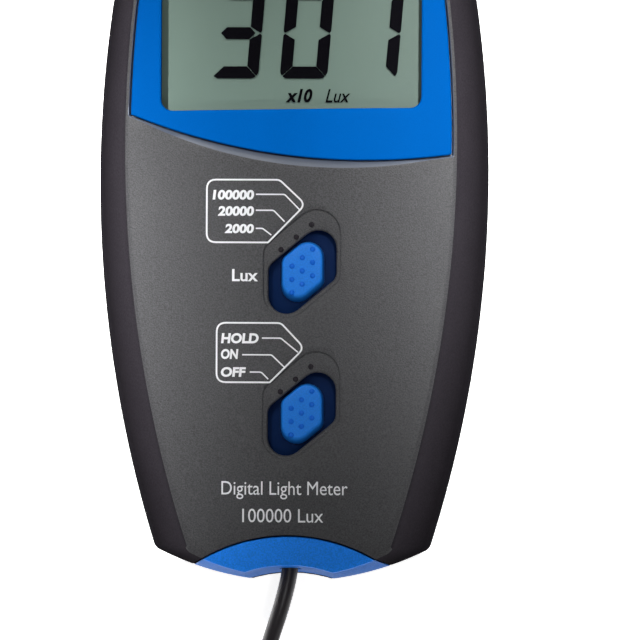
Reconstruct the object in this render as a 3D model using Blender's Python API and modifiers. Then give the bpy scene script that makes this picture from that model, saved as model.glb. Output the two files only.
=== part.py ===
"""A hand-held digital light meter lying on its back, with its sensor head on a cord.

Lengths below are in millimetres and MM turns them into metres where an object is made.
+X is the meter's right, +Y its top end, and +Z comes out of its face. The origin is the
middle of the meter's back, which rests on the plane z = 0.
"""

import math

import bmesh
import bpy
from mathutils import Matrix, Vector

MM = 0.001
GAP = 0.3

# The case, seen from the front: two side arcs and two end arcs, all with a small corner radius.
CASE_DEPTH = 35.0
PARTING_Z = 17.0
SIDE_HALF_WIDTH = 36.0
SIDE_RADIUS = 227.0
END_REACH = 74.7
END_RADIUS = 55.4
FACE_HALF_WIDTH = 30.2
FACE_SIDE_RADIUS = 238.0
FACE_WIDEST_Y = 6.0
FACE_REACH = 73.0
FACE_END_RADIUS = 39.4
BACK_HALF_WIDTH = 30.5
BACK_SIDE_RADIUS = 221.5
BACK_REACH = 69.0
BACK_END_RADIUS = 50.0
CORNER_RADIUS = 2.2
WALL = 2.3
SIDE_FALL = 2.0
END_FALL = 1.0

# The display: a blue bezel let into the face, with the window in it.
BEZEL_MARGIN = 0.9
BEZEL_LOW_CENTRE = (13.3, 117.5)
BEZEL_LOW_RADIUS = 114.7
BEZEL_HIGH_CENTRE = (0.0, -20.0)
BEZEL_HIGH_RADIUS = 68.0
BEZEL_THICKNESS = 1.3
BEZEL_SINK = 0.1
POCKET_DEPTH = 1.7
WINDOW_HALF_WIDTH = 23.7
WINDOW_LOW = (11.7, 12.4)
WINDOW_HIGH = 38.5
WINDOW_RADIUS = 2.05
LENS_Z = (31.0, 32.0)
LCD_Z = (27.2, 29.8)
PCB_Z = (23.2, 24.8)

# The two slide switches. Each knob runs along the same slanted line.
SLIDE_SLOPE = math.radians(39.7)
SWITCH_X = 2.25
RANGE_Y = -17.6
POWER_Y = -43.45
INDEX_PITCH = 3.6
RECESS_FLOOR_Z = 34.45
SKIRT_Z = (30.9, 31.9)
KNOB_TOP_Z = 34.8
PIP_COLUMN = 1.87
PIP_PITCH = 2.42

# The end cap and the cord's way out of it.
CAP_CENTRE_Y = -96.7
CAP_RADIUS = 30.9
EXIT_Z = 25.4
NOTCH_RADIUS = 25.4
NOTCH_Y = -73.1
NOTCH_LEAN = math.radians(6.8)
EXIT_DEPTH = 4.1
EXIT_RADIUS = 2.1

# The battery and its compartment in the back of the case.
WELL_HALF_WIDTH = 14.2
WELL_Y = (-63.4, -9.6)
WELL_TOP = 20.6
DOOR_HALF_WIDTH = 17.0
DOOR_Y = (-70.5, -6.0)
DOOR_LENGTH = 62.4
DOOR_THICKNESS = 1.7
BATTERY_SIZE = (26.5, 46.0, 17.5)
BATTERY_LOW_Y = -62.6

SCREW_PLACES = ((18.4, 60.0), (-18.4, 60.0), (22.0, -47.6), (-22.0, -47.6))
PCB_SCREW_PLACES = ((-18.0, 3.0), (18.0, 3.0))

# The sensor head, lying beyond the coiled cord.
HEAD_X = -7.0
HEAD_Y = (-240.0, -172.0)
HEAD_HALF_WIDTH = 28.0
HEAD_SPLIT_Z = 12.0
HEAD_TOP_Z = 23.0
HEAD_CORNER = 12.0
HEAD_WALL = 2.0
SCREW_X = HEAD_X + 14.0
DOME_Y = -209.0
DOME_RADIUS = 17.0
DOME_FOOT_Z = 23.4
DOME_RISE = 7.0
RELIEF_LENGTH = 11.0
RELIEF_Z = 11.0

# The cord and its coil.
CORD_DIAMETER = 3.0
COIL_CENTRE = (13.0, -122.0)
COIL_RADII = (11.0, 24.0)
COIL_HEIGHT = 12.3

CHARCOAL = (0.105, 0.105, 0.11)
BLUE = (0.003, 0.135, 0.58)


def new_collection(name, hidden=False):
    found = bpy.data.collections.new(name)
    bpy.context.scene.collection.children.link(found)
    found.hide_render = hidden
    return found


def material(name, colour, roughness, metallic=0.0):
    made = bpy.data.materials.new(name)
    made.use_nodes = True
    shader = made.node_tree.nodes["Principled BSDF"]
    shader.inputs["Base Color"].default_value = (*colour, 1.0)
    shader.inputs["Roughness"].default_value = roughness
    shader.inputs["Metallic"].default_value = metallic
    made.diffuse_color = (*colour, 1.0)
    return made


def finish(name, bm, look=None, origin=(0.0, 0.0, 0.0), smooth=35.0):
    """Turns a mesh in millimetres into an object. With no look it becomes a hidden cutter."""
    bmesh.ops.recalc_face_normals(bm, faces=bm.faces)
    bmesh.ops.translate(bm, verts=bm.verts, vec=-Vector(origin))
    bmesh.ops.scale(bm, verts=bm.verts, vec=(MM, MM, MM))
    mesh = bpy.data.meshes.new(name)
    bm.to_mesh(mesh)
    bm.free()
    mesh.shade_smooth()
    mesh.set_sharp_from_angle(angle=math.radians(smooth))
    obj = bpy.data.objects.new(name, mesh)
    obj.location = Vector(origin) * MM
    if look is None:
        CUTTERS.objects.link(obj)
        obj.hide_render = True
        obj.display_type = "WIRE"
    else:
        mesh.materials.append(look)
        PARTS.objects.link(obj)
    return obj


def add_box(bm, low, high, turn=0.0):
    """A box between two corners, turned about the vertical line through its middle."""
    size = [b - a for a, b in zip(low, high)]
    middle = [(a + b) / 2 for a, b in zip(low, high)]
    place = Matrix.Translation(middle) @ Matrix.Rotation(turn, 4, "Z") @ Matrix.Diagonal((*size, 1.0))
    bmesh.ops.create_cube(bm, size=1.0, matrix=place)


def add_cone(bm, low, high, radius, radius_high=None, sides=24):
    """A cylinder or cone between the middles of its two ends."""
    low, high = Vector(low), Vector(high)
    turn = (high - low).to_track_quat("Z", "Y").to_matrix().to_4x4()
    bmesh.ops.create_cone(
        bm,
        cap_ends=True,
        segments=sides,
        radius1=radius,
        radius2=radius if radius_high is None else radius_high,
        depth=(high - low).length,
        matrix=Matrix.Translation((low + high) / 2) @ turn,
    )


def box(name, low, high, look=None, origin=(0.0, 0.0, 0.0), turn=0.0, bevel=0.0):
    bm = bmesh.new()
    add_box(bm, low, high, turn)
    obj = finish(name, bm, look, origin)
    if bevel:
        soften(obj, bevel)
    return obj


def rod(name, low, high, radius, look=None, radius_high=None, sides=24):
    bm = bmesh.new()
    add_cone(bm, low, high, radius, radius_high, sides)
    return finish(name, bm, look)


def soften(obj, width, segments=2):
    edge = obj.modifiers.new("Bevel", "BEVEL")
    edge.width = width * MM
    edge.segments = segments
    edge.limit_method = "ANGLE"
    edge.angle_limit = math.radians(40.0)


def combine(obj, operation, *others):
    for other in others:
        step = obj.modifiers.new(f"{operation.title()} {other.name}", "BOOLEAN")
        step.operation = operation
        step.solver = "EXACT"
        step.object = other


def cut(obj, *others):
    combine(obj, "DIFFERENCE", *others)


def join(obj, *others):
    combine(obj, "UNION", *others)


def loft(name, rings, look=None, origin=(0.0, 0.0, 0.0)):
    """A closed skin through rings of equally many points, with a flat or crowned cap at each end."""
    bm = bmesh.new()
    levels = [[bm.verts.new(point) for point in ring] for ring in rings]
    for lower, upper in zip(levels, levels[1:]):
        for i in range(len(lower)):
            j = (i + 1) % len(lower)
            bm.faces.new((lower[i], lower[j], upper[j], upper[i]))
    bm.faces.new(reversed(levels[0]))
    bm.faces.new(levels[-1])
    return finish(name, bm, look, origin)


def prism(name, outline, low, high, look=None, origin=(0.0, 0.0, 0.0)):
    return loft(name, [[(x, y, z) for x, y in outline] for z in (low, high)], look, origin)


def arc(centre, radius, start, end, steps):
    """Points of an arc, with its angles in radians."""
    angles = [start + (end - start) * i / steps for i in range(steps + 1)]
    return [(centre[0] + radius * math.cos(a), centre[1] + radius * math.sin(a)) for a in angles]


def meeting_point(centre_a, radius_a, centre_b, radius_b):
    """The lower right point where two circles cross."""
    a, b = Vector(centre_a), Vector(centre_b)
    apart = (b - a).length
    along = (radius_a**2 - radius_b**2 + apart**2) / (2 * apart)
    off = math.sqrt(radius_a**2 - along**2)
    unit = (b - a) / apart
    side = Vector((-unit.y, unit.x))
    found = [a + unit * along + side * off, a + unit * along - side * off]
    return max(found, key=lambda point: point.x - point.y)


def case_outline(half_width, side_radius, reach, end_radius, widest_y=0.0, corner=CORNER_RADIUS):
    """The closed outline made of two side arcs and two end arcs. The sides are widest at widest_y."""
    quarters = []
    for side_y in (widest_y, -widest_y):
        side_centre = (half_width - side_radius, side_y)
        end_centre = (0.0, end_radius - reach)
        middle = meeting_point(side_centre, side_radius - corner, end_centre, end_radius - corner)
        leave = math.atan2(middle.y - side_centre[1], middle.x - side_centre[0])
        arrive = math.atan2(middle.y - end_centre[1], middle.x - end_centre[0])
        quarter = arc(side_centre, side_radius, 0.0, leave, 7)
        quarter += arc(middle, corner, leave, arrive, 3)[1:]
        quarters.append(quarter + arc(end_centre, end_radius, arrive, -math.pi / 2, 5)[1:])
    low, high = quarters
    low_half = low + [(-x, y) for x, y in reversed(low[:-1])]
    high_half = high + [(-x, y) for x, y in reversed(high[:-1])]
    return low_half + [(x, -y) for x, y in reversed(high_half[1:-1])]


def inset_outline(half_width, side_radius, reach, end_radius, widest_y, inset):
    sizes = (half_width, side_radius, reach, end_radius)
    return case_outline(*[size - inset for size in sizes], widest_y, 1.2 if inset else CORNER_RADIUS)


def side_outline(inset=0.0):
    return inset_outline(SIDE_HALF_WIDTH, SIDE_RADIUS, END_REACH, END_RADIUS, 0.0, inset)


def face_outline(inset=0.0):
    return inset_outline(FACE_HALF_WIDTH, FACE_SIDE_RADIUS, FACE_REACH, FACE_END_RADIUS, FACE_WIDEST_Y, inset)


def back_outline(inset=0.0):
    return inset_outline(BACK_HALF_WIDTH, BACK_SIDE_RADIUS, BACK_REACH, BACK_END_RADIUS, 0.0, inset)


def face_z(x, y):
    """Height of the gently crowned face."""
    return CASE_DEPTH - SIDE_FALL * (x / FACE_HALF_WIDTH) ** 2 - END_FALL * (y / FACE_REACH) ** 4


def between(first, second, share, height):
    """The outline a given share of the way from one outline to another. height is a number or a rule."""
    points = []
    for (ax, ay), (bx, by) in zip(first, second):
        x, y = ax + (bx - ax) * share, ay + (by - ay) * share
        points.append((x, y, height(x, y) if callable(height) else height))
    return points


def shrunk(outline, scale, drop):
    return [(x * scale, y * scale, face_z(x * scale, y * scale) - drop) for x, y in outline]


def front_rings(inset, low):
    """Rings of the front half, from the parting line over the side band to the middle of the face."""
    side, face = side_outline(inset), face_outline(inset)
    rings = [between(side, side, 0.0, low)]
    for share, z in ((0.14, 20.5), (0.34, 24.0), (0.60, 28.0), (0.85, 31.2)):
        rings.append(between(side, face, share, z))
    rings.append(between(side, face, 0.97, lambda x, y: face_z(x, y) - 0.75 - inset))
    rings.append(between(side, face, 1.0, lambda x, y: face_z(x, y) - 0.2 - inset))
    for scale in (0.985, 0.86, 0.68, 0.46, 0.22):
        rings.append(shrunk(face, scale, inset))
    return rings


def rear_rings(inset, high):
    side, back = side_outline(inset), back_outline(inset)
    rings = [between(side, side, 0.0, high)]
    for share, z in ((0.16, 11.0), (0.40, 5.5), (0.66, 2.2), (0.88, 0.6)):
        rings.append(between(side, back, share, z + inset))
    rings.append(between(side, back, 1.0, inset))
    return rings


def crowned_slab(name, top, thickness, look=None):
    """A slab whose upper side runs parallel to the face, top above it."""
    bm = bmesh.new()
    bmesh.ops.create_grid(bm, x_segments=16, y_segments=6, size=0.5)
    for vert in bm.verts:
        x, y = vert.co.x * 66.0, 27.0 + vert.co.y * 60.0
        vert.co = (x, y, face_z(x, y) + top)
    obj = finish(name, bm, look)
    shell = obj.modifiers.new("Solidify", "SOLIDIFY")
    shell.thickness = thickness * MM
    shell.offset = -1.0
    return obj


def bezel_outline(grow):
    """Sides that follow the face's edge, a low edge and a high edge that are arcs."""
    half_width = FACE_HALF_WIDTH - BEZEL_MARGIN + grow
    radius = FACE_SIDE_RADIUS - BEZEL_MARGIN + grow
    low_radius, high_radius = BEZEL_LOW_RADIUS + grow, BEZEL_HIGH_RADIUS + grow

    def side_x(y):
        return math.sqrt(radius**2 - (y - FACE_WIDEST_Y) ** 2) - (radius - half_width)

    def low_y(x):
        return BEZEL_LOW_CENTRE[1] - math.sqrt(low_radius**2 - (x - BEZEL_LOW_CENTRE[0]) ** 2)

    def high_y(x):
        return BEZEL_HIGH_CENTRE[1] + math.sqrt(high_radius**2 - x**2)

    left, right = low_y(-half_width), low_y(half_width)
    high = high_y(side_x(45.0))
    points = []
    for i in range(17):
        x = -side_x(left) + (side_x(left) + side_x(right)) * i / 16
        points.append((x, low_y(x)))
    points += [(side_x(y), y) for y in (right + (high - right) * i / 5 for i in range(1, 5))]
    for i in range(9):
        x = side_x(high) * (1 - i / 4)
        points.append((x, high_y(x)))
    points += [(-side_x(y), y) for y in (high + (left - high) * i / 5 for i in range(1, 5))]
    return points


def window_outline(grow=0.0):
    """The window, whose low edge rises a little to the right."""
    half = WINDOW_HALF_WIDTH + grow
    corners = (
        (-half, WINDOW_LOW[0] - grow, math.pi),
        (half, WINDOW_LOW[1] - grow, 1.5 * math.pi),
        (half, WINDOW_HIGH + grow, 0.0),
        (-half, WINDOW_HIGH + grow, 0.5 * math.pi),
    )
    radius = WINDOW_RADIUS
    points = []
    for x, y, start in corners:
        centre = (x - math.copysign(radius, x), y + (radius if y < 25.0 else -radius))
        points += arc(centre, radius, start, start + math.pi / 2, 4)
    return points


def slanted_outline(width, side, acute, obtuse, centre=(0.0, 0.0), steps=5):
    """A rounded parallelogram: upright sides, and slanted edges along the knobs' line of travel."""
    rise = width / 2 * math.tan(SLIDE_SLOPE)
    corners = (
        (width / 2, side / 2 + rise, acute, 0.0, math.pi / 2 + SLIDE_SLOPE),
        (-width / 2, side / 2 - rise, obtuse, math.pi / 2 + SLIDE_SLOPE, math.pi),
        (-width / 2, -side / 2 - rise, acute, math.pi, 1.5 * math.pi + SLIDE_SLOPE),
        (width / 2, -side / 2 + rise, obtuse, 1.5 * math.pi + SLIDE_SLOPE, 2.0 * math.pi),
    )
    points = []
    for x, y, radius, start, end in corners:
        half_turn = (end - start) / 2
        reach = radius / math.cos(half_turn)
        aim = start + half_turn
        middle = (centre[0] + x - reach * math.cos(aim), centre[1] + y - reach * math.sin(aim))
        points += arc(middle, radius, start, end, steps)
    return points


def make_front_case():
    case = loft("front_case", front_rings(0.0, PARTING_Z + GAP / 2), LOOKS["case"])
    cut(case, loft("front_hollow", front_rings(WALL, PARTING_Z - 2.0)))
    posts = bmesh.new()
    for x, y in SCREW_PLACES:
        add_cone(posts, (x, y, PARTING_Z + GAP / 2 + 0.05), (x, y, 32.4), 3.2, sides=16)
    for x, y in PCB_SCREW_PLACES:
        add_cone(posts, (x, y, PCB_Z[1] + GAP), (x, y, 33.2), 2.4, sides=16)
    posts = finish("front_posts", posts)
    combine(posts, "INTERSECT", loft("front_posts_limit", front_rings(WALL / 2, PARTING_Z - 2.0)))
    join(case, posts)
    bores = bmesh.new()
    for x, y in SCREW_PLACES:
        add_cone(bores, (x, y, PARTING_Z - 2.0), (x, y, 27.5), 1.55, sides=12)
    for x, y in PCB_SCREW_PLACES:
        add_cone(bores, (x, y, PCB_Z[0]), (x, y, 30.5), 1.3, sides=12)
    cut(case, finish("front_bores", bores))
    pocket = crowned_slab("bezel_pocket", 4.0, 4.0 + POCKET_DEPTH)
    combine(pocket, "INTERSECT", prism("bezel_pocket_outline", bezel_outline(GAP), 20.0, 45.0))
    cut(case, pocket)
    cut(case, box("lens_opening", (-25.0, 10.6, 28.0), (25.0, 39.9, 40.0)))
    for index, y in enumerate((RANGE_Y, POWER_Y)):
        recess = slanted_outline(13.8, 17.6, 4.2, 3.0, (SWITCH_X - 0.1, y + 1.55))
        opening = slanted_outline(12.4, 12.4, 3.3, 2.3, (SWITCH_X, y))
        cut(case, prism(f"switch_recess_{index}", recess, RECESS_FLOOR_Z, 40.0))
        cut(case, prism(f"switch_opening_{index}", opening, 28.0, 40.0))
    centre = (0.0, CAP_CENTRE_Y)
    cut(case, rod("cap_gap", (*centre, 10.0), (*centre, 45.0), CAP_RADIUS + GAP, sides=72))


def make_index_dots():
    """Three low dots beside each switch, one for each place where its knob stops."""
    case = bpy.data.objects["front_case"]
    dots = bmesh.new()
    along = Vector((math.cos(SLIDE_SLOPE), math.sin(SLIDE_SLOPE)))
    for y in (RANGE_Y, POWER_Y):
        middle = Vector((1.13, y + 6.35))
        for place in (-INDEX_PITCH, 0.0, INDEX_PITCH):
            spot = middle + along * place
            add_cone(dots, (*spot, 33.6), (*spot, RECESS_FLOOR_Z + 0.35), 0.55, 0.4, sides=12)
    join(case, finish("index_dots", dots))


def make_rear_case():
    case = loft("rear_case", rear_rings(0.0, PARTING_Z - GAP / 2), LOOKS["case_back"])
    notch_top = Vector((0.0, NOTCH_Y - NOTCH_RADIUS, PARTING_Z + 3.0))
    cut(case, rod("rear_notch", notch_top - Vector((0.0, 0.0, 24.0)), notch_top, NOTCH_RADIUS, sides=72))
    cut(case, loft("rear_hollow", rear_rings(WALL, PARTING_Z + 2.0)))
    posts = bmesh.new()
    sinks = bmesh.new()
    bores = bmesh.new()
    for x, y in SCREW_PLACES:
        add_cone(posts, (x, y, 1.0), (x, y, PARTING_Z - GAP / 2 - 0.05), 3.9, sides=16)
        add_cone(sinks, (x, y, -2.0), (x, y, 7.0), 2.7, sides=16)
        add_cone(bores, (x, y, 5.0), (x, y, 20.0), 1.6, sides=12)
    posts = finish("rear_posts", posts)
    combine(posts, "INTERSECT", loft("rear_posts_limit", rear_rings(WALL / 2, PARTING_Z + 2.0)))
    join(case, posts)
    join(case, box("battery_walls", (-18.4, -65.2, 0.9), (18.4, -7.8, WELL_TOP + 1.4)))
    join(case, box("door_sill", (-18.8, -68.0, 1.1), (18.8, -4.6, 4.4)))
    cut(case, finish("rear_screw_sinks", sinks), finish("rear_screw_bores", bores))
    well = bmesh.new()
    add_box(well, (-WELL_HALF_WIDTH, WELL_Y[0], -3.0), (WELL_HALF_WIDTH, WELL_Y[1], WELL_TOP))
    cut(case, finish("battery_well", well))
    door_room = (-DOOR_HALF_WIDTH, -80.0, -3.0), (DOOR_HALF_WIDTH, DOOR_Y[1], DOOR_THICKNESS + GAP)
    cut(case, box("door_recess", *door_room))
    cut(case, box("lead_hole", (-5.0, -13.6, 18.0), (5.0, WELL_Y[1], 26.0)))


def make_bezel():
    bezel = crowned_slab("display_bezel", -BEZEL_SINK, BEZEL_THICKNESS, LOOKS["bezel"])
    combine(bezel, "INTERSECT", prism("bezel_shape", bezel_outline(0.0), 20.0, 45.0))
    cut(bezel, prism("window_cut", window_outline(), 20.0, 45.0))


def make_display():
    box("window_lens", (-24.7, 10.9, LENS_Z[0]), (24.7, 39.6, LENS_Z[1]), LOOKS["clear"])
    box("lcd_panel", (-24.4, 9.8, LCD_Z[0]), (24.4, 40.5, LCD_Z[1]), LOOKS["lcd"])
    frame_z = PCB_Z[1] + GAP, LCD_Z[0] - GAP
    frame = box("lcd_holder", (-24.2, 8.2, frame_z[0]), (24.2, 42.0, frame_z[1]), LOOKS["white"])
    cut(frame, box("lcd_holder_opening", (-22.6, 9.8, 20.0), (22.6, 40.4, 30.0)))
    box("zebra_strip", (-22.0, 10.2, frame_z[0]), (22.0, 12.2, frame_z[1]), LOOKS["rubber"])


def make_board():
    half = [(22.5, 55.0), (22.5, -43.0), (18.0, -43.0), (18.0, -53.0)]
    outline = half + [(-x, y) for x, y in reversed(half)]
    board = prism("main_pcb", outline, *PCB_Z, LOOKS["board"])
    holes = bmesh.new()
    for x, y in PCB_SCREW_PLACES:
        add_cone(holes, (x, y, 20.0), (x, y, 28.0), 1.5, sides=12)
    cut(board, finish("board_holes", holes))
    for index, (x, y) in enumerate(PCB_SCREW_PLACES, 1):
        screw("pcb_screw", index, (x, y), PCB_Z[0] - GAP, 29.8, 2.3, 1.0, 1.4)
    under = PCB_Z[0] - GAP
    over = PCB_Z[1] + GAP
    box("meter_chip", (-7.0, 20.0, under - 1.6), (7.0, 34.0, under), LOOKS["chip"], bevel=0.2)
    box("range_trimmer", (-17.0, -34.0, over), (-10.0, -27.0, 29.0), LOOKS["trimmer"], bevel=0.3)
    rod("filter_capacitor", (-13.5, -12.0, over), (-13.5, -12.0, 30.3), 2.6, LOOKS["chip"])
    box("sensor_lead_socket", (8.0, -51.5, over), (15.0, -47.5, 29.5), LOOKS["white"], bevel=0.3)


def screw(kind, index, place, head_low, tip, head_radius, shank_radius, head_height):
    """A pan-head screw driven upwards, its head below and a cross slot in it."""
    x, y = place
    low = head_low - head_height
    made = rod(f"{kind}_{index}", (x, y, low), (x, y, head_low), head_radius, LOOKS["steel"], sides=20)
    shank = bmesh.new()
    add_cone(shank, (x, y, head_low - 0.4), (x, y, tip), shank_radius, shank_radius * 0.75, sides=12)
    join(made, finish(f"{kind}_{index}_shank", shank))
    for arm, (half_x, half_y) in (("slot", (0.3, head_radius * 0.6)), ("cross", (head_radius * 0.6, 0.3))):
        corners = (x - half_x, y - half_y, low - 1.0), (x + half_x, y + half_y, low + 0.7)
        cut(made, box(f"{kind}_{index}_{arm}", *corners))


def make_case_screws():
    for index, place in enumerate(SCREW_PLACES, 1):
        screw("case_screw", index, place, 7.0 - GAP, 26.5, 2.4, 1.2, 1.9)


def make_switch(kind, y):
    """One slide switch: its body on the board, the lever in it, and the knob over it."""
    centre = (SWITCH_X, y)
    floor = PCB_Z[1] + GAP
    body_top = 28.6
    body = box(
        f"{kind}_switch_body",
        (SWITCH_X - 9.0, y - 4.0, floor),
        (SWITCH_X + 9.0, y + 4.0, body_top),
        LOOKS["chip"],
        turn=SLIDE_SLOPE,
    )
    slot = (SWITCH_X - 5.4, y - 1.4, 26.4), (SWITCH_X + 5.4, y + 1.4, 31.0)
    cut(body, box(f"{kind}_switch_slot", *slot, turn=SLIDE_SLOPE))
    origin = (*centre, SKIRT_Z[0])
    lever = (SWITCH_X - 1.0, y - 1.0, 26.8), (SWITCH_X + 1.0, y + 1.0, 30.5)
    box(f"{kind}_switch_lever", *lever, LOOKS["white"], origin, SLIDE_SLOPE)
    skirt = slanted_outline(19.0, 15.0, 5.0, 4.0, centre)
    knob = prism(f"{kind}_knob", skirt, *SKIRT_Z, LOOKS["knob"], origin)
    grip = []
    for shrink, drop in ((0.0, 3.4), (0.6, 0.7), (0.9, 0.2), (1.4, 0.0)):
        radii = 3.0 - shrink * 0.4, 2.1 - shrink * 0.4
        outline = slanted_outline(7.85 - shrink, 11.2 - shrink, *radii, centre)
        grip.append([(px, py, KNOB_TOP_Z - drop) for px, py in outline])
    join(knob, loft(f"{kind}_knob_grip", grip))
    socket = (SWITCH_X - 2.4, y - 2.4, 28.9), (SWITCH_X + 2.4, y + 2.4, SKIRT_Z[0] + 0.4)
    join(knob, box(f"{kind}_knob_socket", *socket, turn=SLIDE_SLOPE))
    hole = (SWITCH_X - 1.3, y - 1.3, 27.0), (SWITCH_X + 1.3, y + 1.3, SKIRT_Z[0])
    cut(knob, box(f"{kind}_knob_hole", *hole, turn=SLIDE_SLOPE))
    join(knob, finish(f"{kind}_knob_pips", pips(centre)))


def pips(centre):
    """Nine low pips in three slanted rows."""
    bm = bmesh.new()
    for column in (-1, 0, 1):
        x = centre[0] + column * PIP_COLUMN
        for row in (-1, 0, 1):
            y = centre[1] + column * PIP_COLUMN * math.tan(SLIDE_SLOPE) + row * PIP_PITCH
            add_cone(bm, (x, y, KNOB_TOP_Z - 0.3), (x, y, KNOB_TOP_Z + 0.25), 0.42, 0.25, sides=8)
    return bm


def make_end_cap():
    """The blue cap let into the low end, with the notch and the hole that the cord comes out of."""
    cap = loft("end_cap", front_rings(0.0, PARTING_Z + GAP / 2), LOOKS["cap"])
    centre = (0.0, CAP_CENTRE_Y)
    combine(cap, "INTERSECT", rod("cap_shape", (*centre, 10.0), (*centre, 45.0), CAP_RADIUS, sides=72))
    top = Vector((0.0, NOTCH_Y - NOTCH_RADIUS, PARTING_Z))
    lean = Vector((0.0, math.sin(NOTCH_LEAN), math.cos(NOTCH_LEAN)))
    cut(cap, rod("cap_notch", top - lean * 12.0, top + lean * 30.0, NOTCH_RADIUS, sides=72))
    exit_y = NOTCH_Y + EXIT_DEPTH
    cut(cap, rod("cap_exit", (0.0, exit_y, EXIT_Z), (0.0, -80.0, EXIT_Z), EXIT_RADIUS))


def make_battery():
    wide, long, tall = BATTERY_SIZE
    floor = DOOR_THICKNESS + GAP + 0.5
    end = BATTERY_LOW_Y + long
    low = (-wide / 2, BATTERY_LOW_Y, floor)
    high = (wide / 2, end, floor + tall)
    battery = box("battery_9v", low, high, LOOKS["battery"], bevel=1.2)
    middle = floor + tall / 2
    studs = bmesh.new()
    for x in (-6.4, 6.4):
        add_cone(studs, (x, end - 1.0, middle), (x, end + 2.2, middle), 2.9 if x < 0 else 3.6, sides=16)
    join(battery, finish("battery_studs", studs))
    corners = (-12.5, end + 0.4, middle - 5.0), (12.5, end + 4.2, middle + 5.0)
    snap = box("battery_snap", *corners, LOOKS["rubber"])
    soften(snap, 0.6)
    sockets = bmesh.new()
    for x in (-6.4, 6.4):
        add_cone(sockets, (x, end - 2.0, middle), (x, end + 2.6, middle), 3.3 if x < 0 else 4.0, sides=16)
    cut(snap, finish("snap_sockets", sockets))
    for name, x in (("battery_lead_red", 2.2), ("battery_lead_black", -2.2)):
        up = ((3.2, middle + 5.3), (4.0, middle + 8.0), (5.0, 21.0), (5.2, 22.8))
        route = [(x, end + beyond, z) for beyond, z in up]
        tube(name, route, 1.2, LOOKS["red" if x > 0 else "rubber"])


def make_battery_door():
    """The plate that closes the battery compartment. It slides towards the cord's end to come free."""
    high_y = DOOR_Y[1] - GAP
    low = (-DOOR_HALF_WIDTH + GAP, high_y - DOOR_LENGTH, 0.0)
    high = (DOOR_HALF_WIDTH - GAP, high_y, DOOR_THICKNESS)
    door = box("battery_door", low, high, LOOKS["case_back"])
    grooves = bmesh.new()
    for i in range(5):
        y = high_y - 7.0 - 2.2 * i
        add_box(grooves, (-8.0, y - 0.5, -1.0), (8.0, y + 0.5, 0.5))
    cut(door, finish("door_grooves", grooves))


def smooth_route(points, spacing):
    """Points at an even spacing along a smooth curve through the route's own points."""
    points = [Vector(p) for p in points]
    ends = [2 * points[0] - points[1], *points, 2 * points[-1] - points[-2]]
    fine = [points[0]]
    for a, b, c, d in zip(ends, ends[1:], ends[2:], ends[3:]):
        for step in range(1, 41):
            t = step / 40
            pull = (c - a) * t + (2 * a - 5 * b + 4 * c - d) * t**2 + (3 * b - a - 3 * c + d) * t**3
            fine.append(b + pull / 2)
    length = sum((q - p).length for p, q in zip(fine, fine[1:]))
    count = max(2, round(length / spacing))
    route, walked, wanted = [fine[0]], 0.0, length / count
    for p, q in zip(fine, fine[1:]):
        walked += (q - p).length
        if walked >= wanted - 1e-6:
            route.append(q)
            wanted += length / count
    return route


def tube(name, points, diameter, look):
    """A round cord through the route's points, with closed ends."""
    route = smooth_route(points, diameter * 2.2)
    curve = bpy.data.curves.new(name, "CURVE")
    curve.dimensions = "3D"
    curve.bevel_depth = diameter / 2 * MM
    curve.bevel_resolution = 2
    curve.use_fill_caps = True
    spline = curve.splines.new("POLY")
    spline.points.add(len(route) - 1)
    for point, place in zip(spline.points, route):
        point.co = (*(place * MM), 1.0)
    curve.materials.append(look)
    obj = bpy.data.objects.new(name, curve)
    PARTS.objects.link(obj)
    return obj


def head_outline(inset, steps=5):
    radius = HEAD_CORNER - inset
    half, low, high = HEAD_HALF_WIDTH - inset, HEAD_Y[0] + inset, HEAD_Y[1] - inset
    points = []
    for x, y, start in ((half, high, 0.0), (-half, high, 0.5), (-half, low, 1.0), (half, low, 1.5)):
        centre = (HEAD_X + x - math.copysign(radius, x), y + (radius if y == low else -radius))
        points += arc(centre, radius, start * math.pi, (start + 0.5) * math.pi, steps)
    return points


def head_rings(levels):
    return [[(x, y, z) for x, y in head_outline(inset)] for inset, z in levels]


def head_shell(name, levels, hollow_levels, look):
    shell = loft(name, head_rings(levels), look)
    cut(shell, loft(f"{name}_hollow", head_rings(hollow_levels)))
    return shell


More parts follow.
